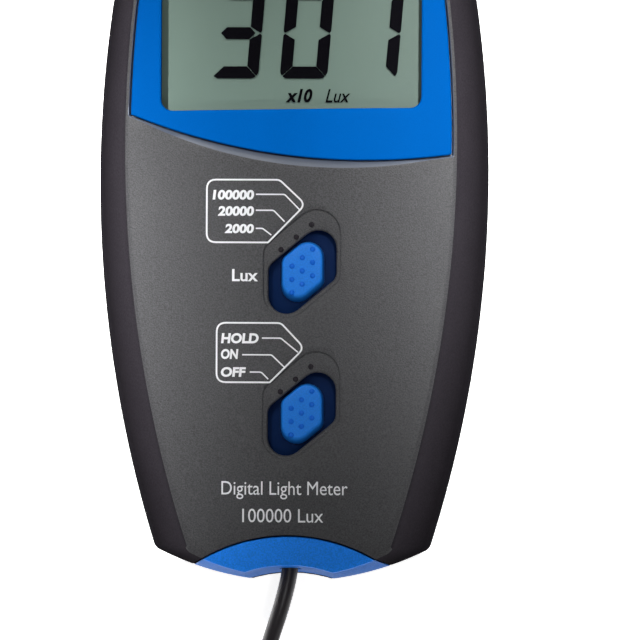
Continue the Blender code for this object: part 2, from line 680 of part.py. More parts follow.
def make_sensor_shells():
    split = HEAD_SPLIT_Z
    upper = head_shell(
        "sensor_upper_shell",
        ((0.0, split + GAP / 2), (0.4, 20.0), (1.4, 22.2), (3.2, HEAD_TOP_Z)),
        ((HEAD_WALL, split - 2.0), (HEAD_WALL + 1.0, HEAD_TOP_Z - HEAD_WALL)),
        LOOKS["case"],
    )
    lower = head_shell(
        "sensor_lower_shell",
        ((0.0, split - GAP / 2), (0.4, 3.0), (1.4, 0.8), (3.2, 0.0)),
        ((HEAD_WALL, split + 2.0), (HEAD_WALL + 1.0, HEAD_WALL)),
        LOOKS["case"],
    )
    dome_axis = (HEAD_X, DOME_Y, 15.0), (HEAD_X, DOME_Y, 30.0)
    cut(upper, rod("dome_opening", *dome_axis, DOME_RADIUS + GAP, sides=30))
    relief = (HEAD_X, HEAD_Y[1] + 2.0, RELIEF_Z), (HEAD_X, HEAD_Y[1] - 6.0, RELIEF_Z)
    cut(upper, rod("relief_opening_upper", *relief, 3.3))
    cut(lower, rod("relief_opening_lower", *relief, 3.3))
    for index, y in enumerate((HEAD_Y[0] + 7.5, HEAD_Y[1] - 7.5), 1):

        def upright(kind, low, high, radius, sides=16):
            return rod(f"sensor_{kind}_{index}", (SCREW_X, y, low), (SCREW_X, y, high), radius, sides=sides)

        join(lower, upright("post_low", 1.0, split - 0.2, 3.6))
        join(upper, upright("post_high", split + 0.2, 21.6, 3.0))
        bore = upright("bore", 0.5, 18.5, 1.5, 12)
        cut(upper, bore)
        cut(lower, bore, upright("sink", -1.0, 4.0, 2.4))
        screw("sensor_screw", index, (SCREW_X, y), 4.0 - GAP, 17.5, 2.1, 1.1, 1.6)


def make_sensor_optics():
    """The white dome in its ring, with the filter, the photodiode and their board below."""
    centre = (HEAD_X, DOME_Y)
    profile = [(DOME_RADIUS, 19.5), (DOME_RADIUS, DOME_FOOT_Z)]
    for angle in (0.25, 0.55, 0.85, 1.15, 1.4, 1.54):
        height = DOME_FOOT_Z + DOME_RISE * math.sin(angle)
        profile.append((DOME_RADIUS * math.cos(angle), height))
    rings = []
    for radius, z in profile:
        rings.append([(x, y, z) for x, y in arc(centre, radius, 0.0, 2 * math.pi, 30)[:-1]])
    dome = loft("diffuser_dome", rings, LOOKS["diffuser"])
    hollow = (*centre, 18.0), (*centre, 24.5)
    cut(dome, rod("dome_hollow", *hollow, DOME_RADIUS - 2.4, radius_high=DOME_RADIUS - 5.0))
    edge = (*centre, HEAD_TOP_Z + GAP), (*centre, HEAD_TOP_Z + 2.0)
    ring = rod("diffuser_ring", *edge, 20.6, LOOKS["cap"], 19.4, 30)
    cut(ring, rod("ring_bore", (*centre, 20.0), (*centre, 30.0), DOME_RADIUS + GAP, sides=30))
    board = (HEAD_X - 12.0, DOME_Y - 12.0, 13.0), (HEAD_X + 12.0, DOME_Y + 12.0, 14.4)
    box("sensor_board", *board, LOOKS["board"])
    diode_z = 14.4 + GAP
    rod("photodiode", (*centre, diode_z), (*centre, 16.6), 4.6, LOOKS["steel"], sides=24)
    rod("colour_filter", (*centre, 16.9), (*centre, 18.6), 5.0, LOOKS["filter"], sides=24)


def make_sensor_relief():
    """The tapered sleeve that leads the cord into the sensor head."""
    y = HEAD_Y[1]
    relief = rod(
        "sensor_strain_relief",
        (HEAD_X, y - 5.0, RELIEF_Z),
        (HEAD_X, y + RELIEF_LENGTH, RELIEF_Z),
        3.0,
        LOOKS["rubber"],
        2.0,
    )
    flange = rod("relief_flange", (HEAD_X, y - 4.6, RELIEF_Z), (HEAD_X, y - 2.9, RELIEF_Z), 4.6)
    join(relief, flange)


def make_cord():
    exit_y = NOTCH_Y + EXIT_DEPTH - GAP
    side_x = COIL_CENTRE[0] - COIL_RADII[1] + CORD_DIAMETER / 2
    top_z = COIL_HEIGHT - CORD_DIAMETER / 2
    lead = [
        (0.0, exit_y, EXIT_Z),
        (-0.2, -73.0, EXIT_Z),
        (-1.5, -78.5, EXIT_Z - 0.5),
        (-3.6, -85.0, EXIT_Z - 3.0),
        (-5.8, -92.0, EXIT_Z - 7.4),
        (-7.8, -99.5, top_z + 2.8),
        (side_x + 0.3, -106.0, top_z + 0.5),
        (side_x, -109.8, top_z),
    ]
    tube("cord_lead", lead, CORD_DIAMETER, LOOKS["cord"])
    tail = [
        (side_x, -134.6, CORD_DIAMETER / 2 + 0.05),
        (side_x + 0.2, -139.0, CORD_DIAMETER / 2 + 0.2),
        (side_x + 0.9, -145.0, 3.8),
        (HEAD_X - 0.5, -151.5, 8.2),
        (HEAD_X, HEAD_Y[1] + RELIEF_LENGTH + 4.0, RELIEF_Z),
        (HEAD_X, HEAD_Y[1] + RELIEF_LENGTH + 0.5, RELIEF_Z),
    ]
    tube("cord_tail", tail, CORD_DIAMETER, LOOKS["cord"])
    inner = [
        (0.0, CAP_CENTRE_Y + CAP_RADIUS + 2 * GAP, EXIT_Z),
        (0.5, -63.5, EXIT_Z),
        (5.5, -59.5, EXIT_Z + 1.0),
        (11.0, -55.0, EXIT_Z + 1.8),
        (11.5, -51.5 - GAP, EXIT_Z + 1.8),
    ]
    tube("sensor_lead_inner", inner, 2.4, LOOKS["cord"])


def make_coil():
    """The outer shape of the coiled cord: a turned ring."""
    low, high = COIL_RADII
    edge = 2.0
    top = COIL_HEIGHT
    profile = [
        (low + edge, top),
        (high - edge, top),
        (high, top - edge),
        (high, edge),
        (high - edge, 0.0),
        (low + edge, 0.0),
        (low, edge),
        (low, top - edge),
    ]
    bm = bmesh.new()
    verts = [bm.verts.new((r, 0.0, z)) for r, z in profile]
    for i, vert in enumerate(verts):
        bm.edges.new((vert, verts[(i + 1) % len(verts)]))
    bmesh.ops.scale(bm, verts=bm.verts, vec=(MM, MM, MM))
    mesh = bpy.data.meshes.new("cord_coil")
    bm.to_mesh(mesh)
    bm.free()
    mesh.materials.append(LOOKS["cord"])
    coil = bpy.data.objects.new("cord_coil", mesh)
    coil.location = Vector((*COIL_CENTRE, 0.0)) * MM
    PARTS.objects.link(coil)
    turn = coil.modifiers.new("Screw", "SCREW")
    turn.steps = turn.render_steps = 28
    turn.use_merge_vertices = True
    turn.merge_threshold = 0.00001


def make_looks():
    return {
        "case": material("case_plastic", CHARCOAL, 0.6),
        "case_back": material("rear_case_plastic", (0.05, 0.05, 0.053), 0.6),
        "bezel": material("bezel_plastic", BLUE, 0.45),
        "knob": material("knob_plastic", (0.03, 0.16, 0.56), 0.4),
        "cap": material("cap_rubber", (0.012, 0.11, 0.47), 0.5),
        "clear": material("clear_plastic", (0.9, 0.95, 0.95), 0.08),
        "lcd": material("lcd_glass", (0.19, 0.26, 0.21), 0.2),
        "white": material("white_plastic", (0.8, 0.8, 0.78), 0.5),
        "rubber": material("black_rubber", (0.02, 0.02, 0.02), 0.7),
        "board": material("circuit_board", (0.02, 0.17, 0.07), 0.45),
        "chip": material("chip_epoxy", (0.025, 0.025, 0.028), 0.5),
        "trimmer": material("trimmer_plastic", (0.05, 0.16, 0.5), 0.4),
        "steel": material("zinc_plated_steel", (0.6, 0.6, 0.6), 0.3, 1.0),
        "battery": material("battery_jacket", (0.08, 0.08, 0.09), 0.3, 0.5),
        "red": material("red_insulation", (0.5, 0.02, 0.02), 0.5),
        "diffuser": material("diffuser_opal", (0.9, 0.9, 0.88), 0.4),
        "filter": material("green_filter", (0.12, 0.35, 0.2), 0.1),
        "cord": material("cord_sheath", (0.015, 0.015, 0.017), 0.45),
    }


for old in list(bpy.data.objects):
    bpy.data.objects.remove(old, do_unlink=True)

PARTS = new_collection("light_meter")
CUTTERS = new_collection("cutters", hidden=True)
LOOKS = make_looks()

make_front_case()
make_index_dots()
make_rear_case()
make_bezel()
make_display()
make_board()
make_case_screws()
make_switch("range", RANGE_Y)
make_switch("power", POWER_Y)
make_end_cap()
make_battery()
make_battery_door()
make_sensor_shells()
make_sensor_optics()
make_sensor_relief()
make_cord()
make_coil()
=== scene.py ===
from collections import namedtuple
from functools import partial
import math

import bmesh
import bpy
from mathutils import Matrix, Vector


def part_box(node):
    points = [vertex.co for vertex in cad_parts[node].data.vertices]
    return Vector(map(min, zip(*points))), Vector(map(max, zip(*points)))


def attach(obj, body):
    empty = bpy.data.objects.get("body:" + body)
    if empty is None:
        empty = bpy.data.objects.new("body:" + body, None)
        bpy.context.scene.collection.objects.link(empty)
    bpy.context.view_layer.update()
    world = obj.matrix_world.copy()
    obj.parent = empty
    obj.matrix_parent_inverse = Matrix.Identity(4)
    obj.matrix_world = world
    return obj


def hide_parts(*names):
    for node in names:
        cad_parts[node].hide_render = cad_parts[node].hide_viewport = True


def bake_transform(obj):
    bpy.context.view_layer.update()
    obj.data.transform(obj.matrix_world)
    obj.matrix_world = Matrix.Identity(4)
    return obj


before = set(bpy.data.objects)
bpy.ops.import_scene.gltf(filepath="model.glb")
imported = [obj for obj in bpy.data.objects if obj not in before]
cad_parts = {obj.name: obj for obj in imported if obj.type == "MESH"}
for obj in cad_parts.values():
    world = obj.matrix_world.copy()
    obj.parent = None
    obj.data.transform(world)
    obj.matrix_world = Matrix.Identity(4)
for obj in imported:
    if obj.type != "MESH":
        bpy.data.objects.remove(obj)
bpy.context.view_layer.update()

# Lengths are in millimetres, in the CAD's frame, and MM turns them into metres. Only the camera, the
# lamps and the floor are placed in metres.
MM = 0.001


def box_mm(node):
    low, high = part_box(node)
    return low / MM, high / MM


Outline = namedtuple("Outline", "half_width side_radius reach end_radius widest_y")
Arc = namedtuple("Arc", "x y radius")
Slant = namedtuple("Slant", "width side acute obtuse")

# The case: two side arcs and two end arcs make its outline, at the parting line and round the face.
CASE_LOW, CASE_HIGH = box_mm("front_case")
PARTING_Z = CASE_LOW.z
SIDE = Outline(CASE_HIGH.x, 227.0, CASE_HIGH.y, 55.4, 0.0)
FACE = Outline(30.2, 238.0, 73.0, 39.4, 6.0)
CORNER_RADIUS = 2.2
WALL = 2.3

# The face is crowned: how far it falls at its sides and at its ends.
FACE_TOP = CASE_HIGH.z
SIDES_FALL = 2.0
ENDS_FALL = 1.0

# The side band leans in to BAND_SHARE of the way to the face, where its crease starts. The crease
# draws the outline in by CREASE_DRAW, and the face's rings go on from there to its middle.
BAND_SHARE = 0.86
BAND_CURVE = 1.4
BAND_STEPS = 13
CREASE_Z = 31.6
CREASE_DRAW = 0.03
CREASE_STEPS = 8
FACE_MIDDLE = 0.03
FACE_STEPS = 14

# The bezel, the ledge under it, and its window.
BEZEL_MARGIN = 0.9
BEZEL_DEPTH = 1.4
BEZEL_SUNK = 0.1
BEZEL_GAP = 0.28
BEZEL_MIDDLE_Y = 28.0
BEZEL_LOW_ARC = Arc(13.3, 117.5, 114.7)
BEZEL_HIGH_ARC = Arc(0.0, -20.0, 68.0)
LEDGE_ARC = Arc(9.25, 85.9, 84.55)
LEDGE_DEPTH = 0.9
WINDOW_LEFT, WINDOW_RIGHT = -23.7, 23.7
WINDOW_LOW_LEFT, WINDOW_LOW_RIGHT, WINDOW_HIGH = 11.7, 12.4, 38.5
WINDOW_MIDDLE_Y = 25.0
WINDOW_RADIUS = 2.05
LENS_OPENING = ((-25.0, 10.6, 28.0), (25.0, 39.9, 40.0))

# The switches: their parts are rounded parallelograms whose slanted edges follow the line of travel.
SLOPE = math.radians(39.7)
KNOBS = {"range": box_mm("range_knob"), "power": box_mm("power_knob")}
RECESS_FLOOR = 34.45
RECESS = Slant(13.8, 17.6, 4.2, 3.0)
RECESS_PLACE = (2.15, 1.55)
OPENING = Slant(12.4, 12.4, 3.3, 2.3)
OPENING_X = 2.25
PLATE = Slant(19.0, 15.0, 5.0, 4.0)
PLATE_LOW, PLATE_HIGH = 30.9, 31.9
GRIP = Slant(7.9, 11.35, 3.0, 2.1)
GRIP_SUNK = 0.25
PIP_COLUMN = 1.87
PIP_ROW = 2.42
PIP_LIFT = 0.2
SOCKET_HALF, SOCKET_LOW = 2.4, 28.9
HOLE_HALF = 1.3
DOT_PLACE = (1.13, 6.35)
DOT_PITCH = 3.6

# The end cap: a cylinder's share of the shell, with a notch and the cord's exit.
CAP_CENTRE_Y = -96.7
CAP_RADIUS = 30.9
CAP_GAP = 0.3
CAP_SIDES = 160
EXIT_Z = 25.4
NOTCH_Y = -73.1
NOTCH_RADIUS = 25.4
NOTCH_LEAN = math.radians(6.8)
MOUTH_Y = NOTCH_Y - 0.9
CORD_START_Y = NOTCH_Y + 3.8

# The cord.
CORD_RADIUS = 1.5
CORD_SPACING = 1.5
COIL_LOW, COIL_HIGH = box_mm("cord_coil")
COIL_TURNS = 13
COIL_LAYERS = 4
COIL_WIDTH = 10.0
COIL_WAVER = 0.25


# ---- materials

def colour(red, green, blue):
    """A linear colour from the 0 to 255 values that a screen shows."""
    def linear(value):
        value /= 255.0
        return value / 12.92 if value <= 0.04045 else ((value + 0.055) / 1.055) ** 2.4
    return (linear(red), linear(green), linear(blue), 1.0)


class Surface:
    """A Principled material whose colour, roughness and relief vary over the surface."""

    def __init__(self, name, base, roughness, metallic=0.0):
        self.material = bpy.data.materials.new(name)
        self.material.use_nodes = True
        self.tree = self.material.node_tree
        self.shader = self.tree.nodes["Principled BSDF"]
        self.base = base
        self.set("Base Color", base)
        self.set("Roughness", roughness)
        self.set("Metallic", metallic)
        self.place = self.node("ShaderNodeTexCoord").outputs["Object"]

    def node(self, kind, **values):
        made = self.tree.nodes.new(kind)
        for name, value in values.items():
            setattr(made, name, value)
        return made

    def link(self, output, target):
        self.tree.links.new(output, target)

    def set(self, name, value):
        self.shader.inputs[name].default_value = value

    def noise(self, size, detail=3.0, rough=0.5, stretch=(1.0, 1.0, 1.0)):
        """Noise whose grains are about size millimetres across."""
        mapping = self.node("ShaderNodeMapping")
        mapping.inputs["Scale"].default_value = stretch
        self.link(self.place, mapping.inputs["Vector"])
        made = self.node("ShaderNodeTexNoise")
        made.inputs["Scale"].default_value = 1.0 / (size * MM)
        made.inputs["Detail"].default_value = detail
        made.inputs["Roughness"].default_value = rough
        self.link(mapping.outputs["Vector"], made.inputs["Vector"])
        return made.outputs["Fac"]

    def spread(self, value, low, high, start=0.3, end=0.7):
        made = self.node("ShaderNodeMapRange")
        for name, number in (("From Min", start), ("From Max", end), ("To Min", low), ("To Max", high)):
            made.inputs[name].default_value = number
        self.link(value, made.inputs["Value"])
        return made.outputs["Result"]

    def mottle(self, value, share, start=0.3, end=0.7):
        """Varies the base colour's brightness by plus or minus share."""
        return self.dim(self.spread(value, 1.0 - share, 1.0 + share, start, end))

    def dim(self, bright):
        """Multiplies the base colour by a value."""
        made = self.node("ShaderNodeMix", data_type="RGBA", blend_type="MULTIPLY")
        made.inputs["Factor"].default_value = 1.0
        source = self.shader.inputs["Base Color"].links
        if source:
            self.link(source[0].from_socket, made.inputs["A"])
        else:
            made.inputs["A"].default_value = self.base
        self.link(bright, made.inputs["B"])
        self.link(made.outputs["Result"], self.shader.inputs["Base Color"])
        return self

    def vary_roughness(self, value, low, high):
        self.link(self.spread(value, low, high), self.shader.inputs["Roughness"])
        return self

    def fade(self, axis, start, end, share):
        """Dims the base colour along an axis, from full at start to share of it at end."""
        parts = self.node("ShaderNodeSeparateXYZ")
        self.link(self.place, parts.inputs["Vector"])
        return self.dim(self.spread(parts.outputs[axis], 1.0, share, start * MM, end * MM))

    def bump(self, value, depth, strength=1.0):
        """Relief of about depth millimetres. A second call lies on the first."""
        made = self.node("ShaderNodeBump")
        made.inputs["Distance"].default_value = depth * MM
        made.inputs["Strength"].default_value = strength
        self.link(value, made.inputs["Height"])
        source = self.shader.inputs["Normal"].links
        if source:
            self.link(source[0].from_socket, made.inputs["Normal"])
        self.link(made.outputs["Normal"], self.shader.inputs["Normal"])
        return self


def plastic(name, base, roughness, grain, depth, mottling=0.05, blotch=9.0, spec=0.5, speckle=0.04):
    made = Surface(name, base, roughness)
    made.set("Specular IOR Level", spec)
    fine = made.noise(grain, 2.0)
    wide = made.noise(blotch, 4.0)
    made.mottle(wide, mottling)
    made.mottle(fine, speckle)
    made.vary_roughness(wide, roughness - 0.05, roughness + 0.06)
    made.bump(fine, depth)
    return made


def metal(name, base, roughness):
    made = Surface(name, base, roughness, 1.0)
    scratches = made.noise(0.5, 4.0, 0.6, (1.0, 6.0, 1.0))
    made.mottle(made.noise(3.0), 0.06)
    made.vary_roughness(scratches, roughness - 0.08, roughness + 0.12)
    made.bump(scratches, 0.01)
    return made


def clear_plastic(name):
    made = Surface(name, (0.02, 0.02, 0.03, 1.0), 0.12)
    made.set("Alpha", 0.04)
    made.set("Specular IOR Level", 0.05)
    made.vary_roughness(made.noise(14.0), 0.08, 0.16)
    return made


def lcd_material():
    made = Surface("lcd_face", colour(117, 140, 128), 0.45)
    made.set("Specular IOR Level", 0.2)
    made.mottle(made.noise(0.16, 1.0), 0.035)
    made.mottle(made.noise(26.0), 0.03)
    made.bump(made.noise(0.2, 1.0), 0.004)
    return made


def board_material():
    made = Surface("solder_mask", colour(18, 92, 52), 0.35)
    traces = made.node("ShaderNodeTexVoronoi", feature="DISTANCE_TO_EDGE")
    traces.inputs["Scale"].default_value = 260.0
    made.link(made.place, traces.inputs["Vector"])
    made.mottle(traces.outputs["Distance"], 0.25, 0.0, 0.2)
    made.bump(traces.outputs["Distance"], 0.03)
    return made


# Each plastic's name and colour, then what plastic() takes after them.
PLASTICS = {
    "face": ("spark_textured_face", (65, 65, 67), 0.5, 0.25, 0.08, 0.05, 9.0, 0.25, 0.34),
    # The side band is the face's own plastic, coloured darker as painted shade where its steep sides get
    # less light.
    "band": ("smooth_side_band_painted_shade", (25, 23, 26), 0.6, 0.34, 0.04, 0.05, 9.0, 0.03, 0.15),
    # The ledge is the case's grey plastic; its lighter, bluish slate is a painted reflection of the blue
    # bezel.
    "ledge": ("ledge_painted_bezel_reflection", (71, 79, 94), 0.4, 0.3, 0.004, 0.02),
    "back": ("textured_back", (27, 25, 28), 0.6, 0.45, 0.035, 0.05),
    "bezel": ("bezel_blue", (0, 98, 188), 0.42, 0.2, 0.004, 0.015, 14.0, 0.12),
    "knob": ("knob_blue", (30, 117, 212), 0.4, 0.3, 0.012, 0.03, 9.0, 0.12, 0.12),
    # The slide plate is the knob's own blue moulding, coloured dark navy as painted shade down in the
    # opening.
    "plate": ("slide_plate_painted_shade_blue", (8, 30, 67), 0.5, 0.3, 0.004, 0.03, 9.0, 0.03),
    # The pips are the knob's own moulding, coloured a deeper blue as painted shade on their sides.
    "pip": ("pip_painted_shade_blue", (12, 96, 202), 0.4, 0.2, 0.004, 0.03, 9.0, 0.15),
    "cap": ("cap_blue", (38, 136, 248), 0.5, 0.3, 0.05, 0.03, 9.0, 0.25, 0.2),
    "segment": ("lcd_black", (9, 8, 11), 0.4, 0.1, 0.001, 0.05, 3.0, 0.2),
    "ink": ("label_ink", (232, 233, 235), 0.5, 0.12, 0.004, 0.03, 2.0, 0.3),
    "white": ("moulded_white", (226, 226, 220), 0.5, 0.4, 0.01, 0.03),
    "rubber": ("black_rubber", (28, 28, 29), 0.62, 0.35, 0.02, 0.08),
    "cord": ("cord_sheath", (26, 20, 25), 0.42, 0.5, 0.012, 0.08, 5.0),
    "chip": ("chip_epoxy", (30, 30, 32), 0.5, 0.15, 0.01, 0.08),
    "trimmer": ("trimmer_blue", (36, 92, 170), 0.4, 0.3, 0.008, 0.04),
    "battery": ("battery_jacket", (52, 52, 56), 0.3, 0.8, 0.004, 0.08),
    "red": ("red_insulation", (176, 28, 24), 0.42, 0.3, 0.006, 0.06),
    "diffuser": ("opal_diffuser", (238, 238, 234), 0.42, 0.35, 0.006, 0.015),
    "filter": ("green_filter", (88, 150, 112), 0.15, 0.4, 0.002, 0.03),
}


def make_materials():
    made = {look: plastic(name, colour(*rgb), *rest) for look, (name, rgb, *rest) in PLASTICS.items()}
    made["clear"] = clear_plastic("lens_clear")
    made["lcd"] = lcd_material()
    made["steel"] = metal("zinc_plated_steel", colour(196, 196, 198), 0.32)
    made["board"] = board_material()
    for look, bend in (("band", 1.02), ("back", 1.05), ("cap", 1.15), ("segment", 1.05), ("bezel", 1.06)):
        made[look].set("IOR", bend)
    # Painted shade: the cap darkens from 33.2 mm down to 31 mm, down its falling sides.
    made["cap"].fade("Z", 33.2, 31.0, 0.6)
    # Painted shade: the bezel darkens towards both sides, evening out the lamps that light its sides more.
    made["bezel"].fade("X", 6.0, 28.0, 0.62).fade("X", -6.0, -28.0, 0.66)
    # Painted shade: the LCD darkens towards its sides, more to the right, evening out the lamps' brighter
    # sides.
    made["lcd"].fade("X", 2.0, 23.0, 0.62).fade("X", -4.0, -23.0, 0.85)
    # Painted light: the side band brightens up to 2.6 times from 22 mm up to its crease.
    made["band"].fade("Z", 22.0, 31.5, 2.6)
    made["diffuser"].set("Subsurface Weight", 0.35)
    made["diffuser"].set("Subsurface Radius", (0.004, 0.004, 0.0035))
    return {name: surface.material for name, surface in made.items()}


# ---- mesh helpers

def add_object(name, data):
    obj = bpy.data.objects.new(name, data)
    bpy.context.scene.collection.objects.link(obj)
    return obj


def evaluated_mesh(obj):
    """The mesh that an object's curve or modifiers make."""
    graph = bpy.context.evaluated_depsgraph_get()
    return bpy.data.meshes.new_from_object(obj.evaluated_get(graph))


def curve_mesh(curve):
    """A curve's or a text's surface, in its own units."""
    obj = add_object("guide", curve)
    mesh = evaluated_mesh(obj)
    bpy.data.objects.remove(obj, do_unlink=True)
    bm = bmesh.new()
    bm.from_mesh(mesh)
    bpy.data.meshes.remove(mesh)
    return bm


def finish_mesh(name, bm, look=None, smooth=38.0):
    """Turns a mesh in millimetres into an object in metres."""
    bmesh.ops.recalc_face_normals(bm, faces=bm.faces)
    bmesh.ops.scale(bm, verts=bm.verts, vec=(MM, MM, MM))
    mesh = bpy.data.meshes.new(name)
    bm.to_mesh(mesh)
    bm.free()
    if look:
        mesh.materials.append(LOOKS[look])
    shade(mesh, smooth)
    return add_object(name, mesh)


def shade(mesh, smooth):
    mesh.shade_smooth()
    mesh.set_sharp_from_angle(angle=math.radians(smooth))


def piece(obj, body, slot, *nodes):
    """Puts a finished object on a body, in place of the CAD nodes that it stands for."""
    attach(obj, body)
    if nodes:
        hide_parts(*nodes)
    return obj


def loft(name, rings, look, smooth=38.0, closed=False):
    """A skin through rings of equally many points. Its ends are capped, or joined where closed."""
    bm = bmesh.new()
    levels = [[bm.verts.new(point) for point in ring] for ring in rings]
    if closed:
        levels.append(levels[0])
    for lower, upper in zip(levels, levels[1:]):
        for i in range(len(lower)):
            j = (i + 1) % len(lower)
            bm.faces.new((lower[i], lower[j], upper[j], upper[i]))
    if not closed:
        bm.faces.new(reversed(levels[0]))
        bm.faces.new(levels[-1])
    return finish_mesh(name, bm, look, smooth)


def carve(obj, operation, *cutters):
    """Applies Booleans at once, keeping the materials of the cutters' faces, and removes the cutters."""
    for cutter in cutters:
        step = obj.modifiers.new("step", "BOOLEAN")
        step.operation = operation
        step.solver = "EXACT"
        step.material_mode = "TRANSFER"
        step.object = cutter
    mesh = evaluated_mesh(obj)
    obj.modifiers.clear()
    obj.data = mesh
    for cutter in cutters:
        bpy.data.objects.remove(cutter, do_unlink=True)
    return obj


def block(name, low, high, look, turn=0.0):
    bm = bmesh.new()
    size = [b - a for a, b in zip(low, high)]
    middle = [(a + b) / 2 for a, b in zip(low, high)]
    place = Matrix.Translation(middle) @ Matrix.Rotation(turn, 4, "Z") @ Matrix.Diagonal((*size, 1.0))
    bmesh.ops.create_cube(bm, size=1.0, matrix=place)
    return finish_mesh(name, bm, look)


def rod(name, low, high, radius, look, sides):
    bm = bmesh.new()
    turn = (high - low).to_track_quat("Z", "Y").to_matrix().to_4x4()
    bmesh.ops.create_cone(
        bm,
        cap_ends=True,
        segments=sides,
        radius1=radius,
        radius2=radius,
        depth=(high - low).length,
        matrix=Matrix.Translation((low + high) / 2) @ turn,
    )
    return finish_mesh(name, bm, look)


def turned(name, profile, centre, look, sides):
    """A capped solid of revolution about the vertical through centre."""
    rings = [[(x, y, z) for x, y in circle(centre, radius, sides)] for radius, z in profile]
    return loft(name, rings, look)


# ---- outlines

def arc(centre, radius, start, end, steps):
    angles = [start + (end - start) * i / steps for i in range(steps + 1)]
    return [(centre[0] + radius * math.cos(a), centre[1] + radius * math.sin(a)) for a in angles]


def circle(centre, radius, sides):
    return arc(centre, radius, 0.0, 2 * math.pi, sides)[:-1]


def meeting_point(centre_a, radius_a, centre_b, radius_b):
    """The lower right point where two circles cross."""
    a, b = Vector(centre_a), Vector(centre_b)
    apart = (b - a).length
    along = (radius_a**2 - radius_b**2 + apart**2) / (2 * apart)
    off = math.sqrt(radius_a**2 - along**2)
    unit = (b - a) / apart
    side = Vector((-unit.y, unit.x))
    found = [a + unit * along + side * off, a + unit * along - side * off]
    return max(found, key=lambda point: point.x - point.y)


def case_outline(size, inset):
    """Two side arcs and two end arcs, with round corners. Each half is a quarter and its mirror image."""
    half_width, side_radius, reach, end_radius = (value - inset for value in size[:4])
    quarters = []
    for side_y in (size.widest_y, -size.widest_y):
        side_centre = (half_width - side_radius, side_y)
        end_centre = (0.0, end_radius - reach)
        side_room, end_room = side_radius - CORNER_RADIUS, end_radius - CORNER_RADIUS
        middle = meeting_point(side_centre, side_room, end_centre, end_room)
        leave = math.atan2(middle.y - side_centre[1], middle.x - side_centre[0])
        arrive = math.atan2(middle.y - end_centre[1], middle.x - end_centre[0])
        quarter = arc(side_centre, side_radius, 0.0, leave, 22)
        quarter += arc(middle, CORNER_RADIUS, leave, arrive, 6)[1:]
        quarters.append(quarter + arc(end_centre, end_radius, arrive, -math.pi / 2, 14)[1:])
    low_half, high_half = (quarter + [(-x, y) for x, y in reversed(quarter[:-1])] for quarter in quarters)
    return low_half + [(x, -y) for x, y in reversed(high_half[1:-1])]


def face_z(x, y):
    """The height of the crowned face."""
    return FACE_TOP - SIDES_FALL * (x / FACE.half_width) ** 2 - ENDS_FALL * (y / FACE.reach) ** 4


def between(first, second, share, height):
    """A ring that lies a share of the way from one outline to another."""
    points = []
    for (ax, ay), (bx, by) in zip(first, second):
        x, y = ax + (bx - ax) * share, ay + (by - ay) * share
        points.append((x, y, height))
    return points


def front_rings(inset=0.0, low=PARTING_Z):
    """Rings from the parting line up the side band, over its rounded crease and in to the middle."""
    side, face = case_outline(SIDE, inset), case_outline(FACE, inset)
    crease_z = CREASE_Z - inset
    rings = []
    for i in range(BAND_STEPS + 1):
        z = low + (crease_z - low) * i / BAND_STEPS
        climb = max(0.0, (z + inset - PARTING_Z) / (crease_z + inset - PARTING_Z))
        rings.append(between(side, face, BAND_SHARE * climb**BAND_CURVE, z))
    for i in range(1, CREASE_STEPS + 1):
        t = i / CREASE_STEPS
        turned_in = math.sin(t * math.pi / 2)
        share = BAND_SHARE + (1.0 - BAND_SHARE) * turned_in**0.9
        scale = 1.0 - CREASE_DRAW * max(0.0, t - 0.4) / 0.6
        ring = []
        for x, y, z in between(side, face, share, crease_z):
            x, y = x * scale, y * scale
            top = face_z(x, y) - inset
            ring.append((x, y, top - (top - z) * (1.0 - turned_in) ** 1.6))
        rings.append(ring)
    edge = 1.0 - CREASE_DRAW
    for i in range(1, FACE_STEPS + 1):
        scale = edge + (FACE_MIDDLE - edge) * i / FACE_STEPS
        rings.append([(x * scale, y * scale, face_z(x * scale, y * scale) - inset) for x, y in face])
    return rings


def round_lip(outline_of, low, surface, radius):
    """A cutter's rings: straight sides that open in a round lip where they meet the surface."""
    rings = [[(x, y, low) for x, y in outline_of(0.0)]]
    for i in range(5):
        angle = math.radians(78.0) * i / 4
        grow, sunk = radius * (1 - math.cos(angle)), radius * (1 - math.sin(angle))
        rings.append([(x, y, surface(x, y) - sunk) for x, y in outline_of(grow)])
    rings.append([(x, y, surface(x, y) + 0.25) for x, y in outline_of(grow + 0.5)])
    rings.append([(x, y, surface(x, y) + 3.0) for x, y in outline_of(grow + 0.5)])
    return rings


def slanted_outline(slant, centre, grow=0.0):
    """A rounded parallelogram: upright sides, and slanted edges along the knobs' line of travel."""
    width, side = slant.width + 2 * grow, slant.side + 2 * grow / math.cos(SLOPE)
    acute, obtuse = max(slant.acute + grow, 0.2), max(slant.obtuse + grow, 0.2)
    rise = width / 2 * math.tan(SLOPE)
    corners = (
        (width / 2, side / 2 + rise, acute, 0.0, math.pi / 2 + SLOPE),
        (-width / 2, side / 2 - rise, obtuse, math.pi / 2 + SLOPE, math.pi),
        (-width / 2, -side / 2 - rise, acute, math.pi, 1.5 * math.pi + SLOPE),
        (width / 2, -side / 2 + rise, obtuse, 1.5 * math.pi + SLOPE, 2.0 * math.pi),
    )
    points = []
    for x, y, radius, start, end in corners:
        reach = radius / math.cos((end - start) / 2)
        aim = (start + end) / 2
        middle = (centre[0] + x - reach * math.cos(aim), centre[1] + y - reach * math.sin(aim))
        points += arc(middle, radius, start, end, 8)
    return points


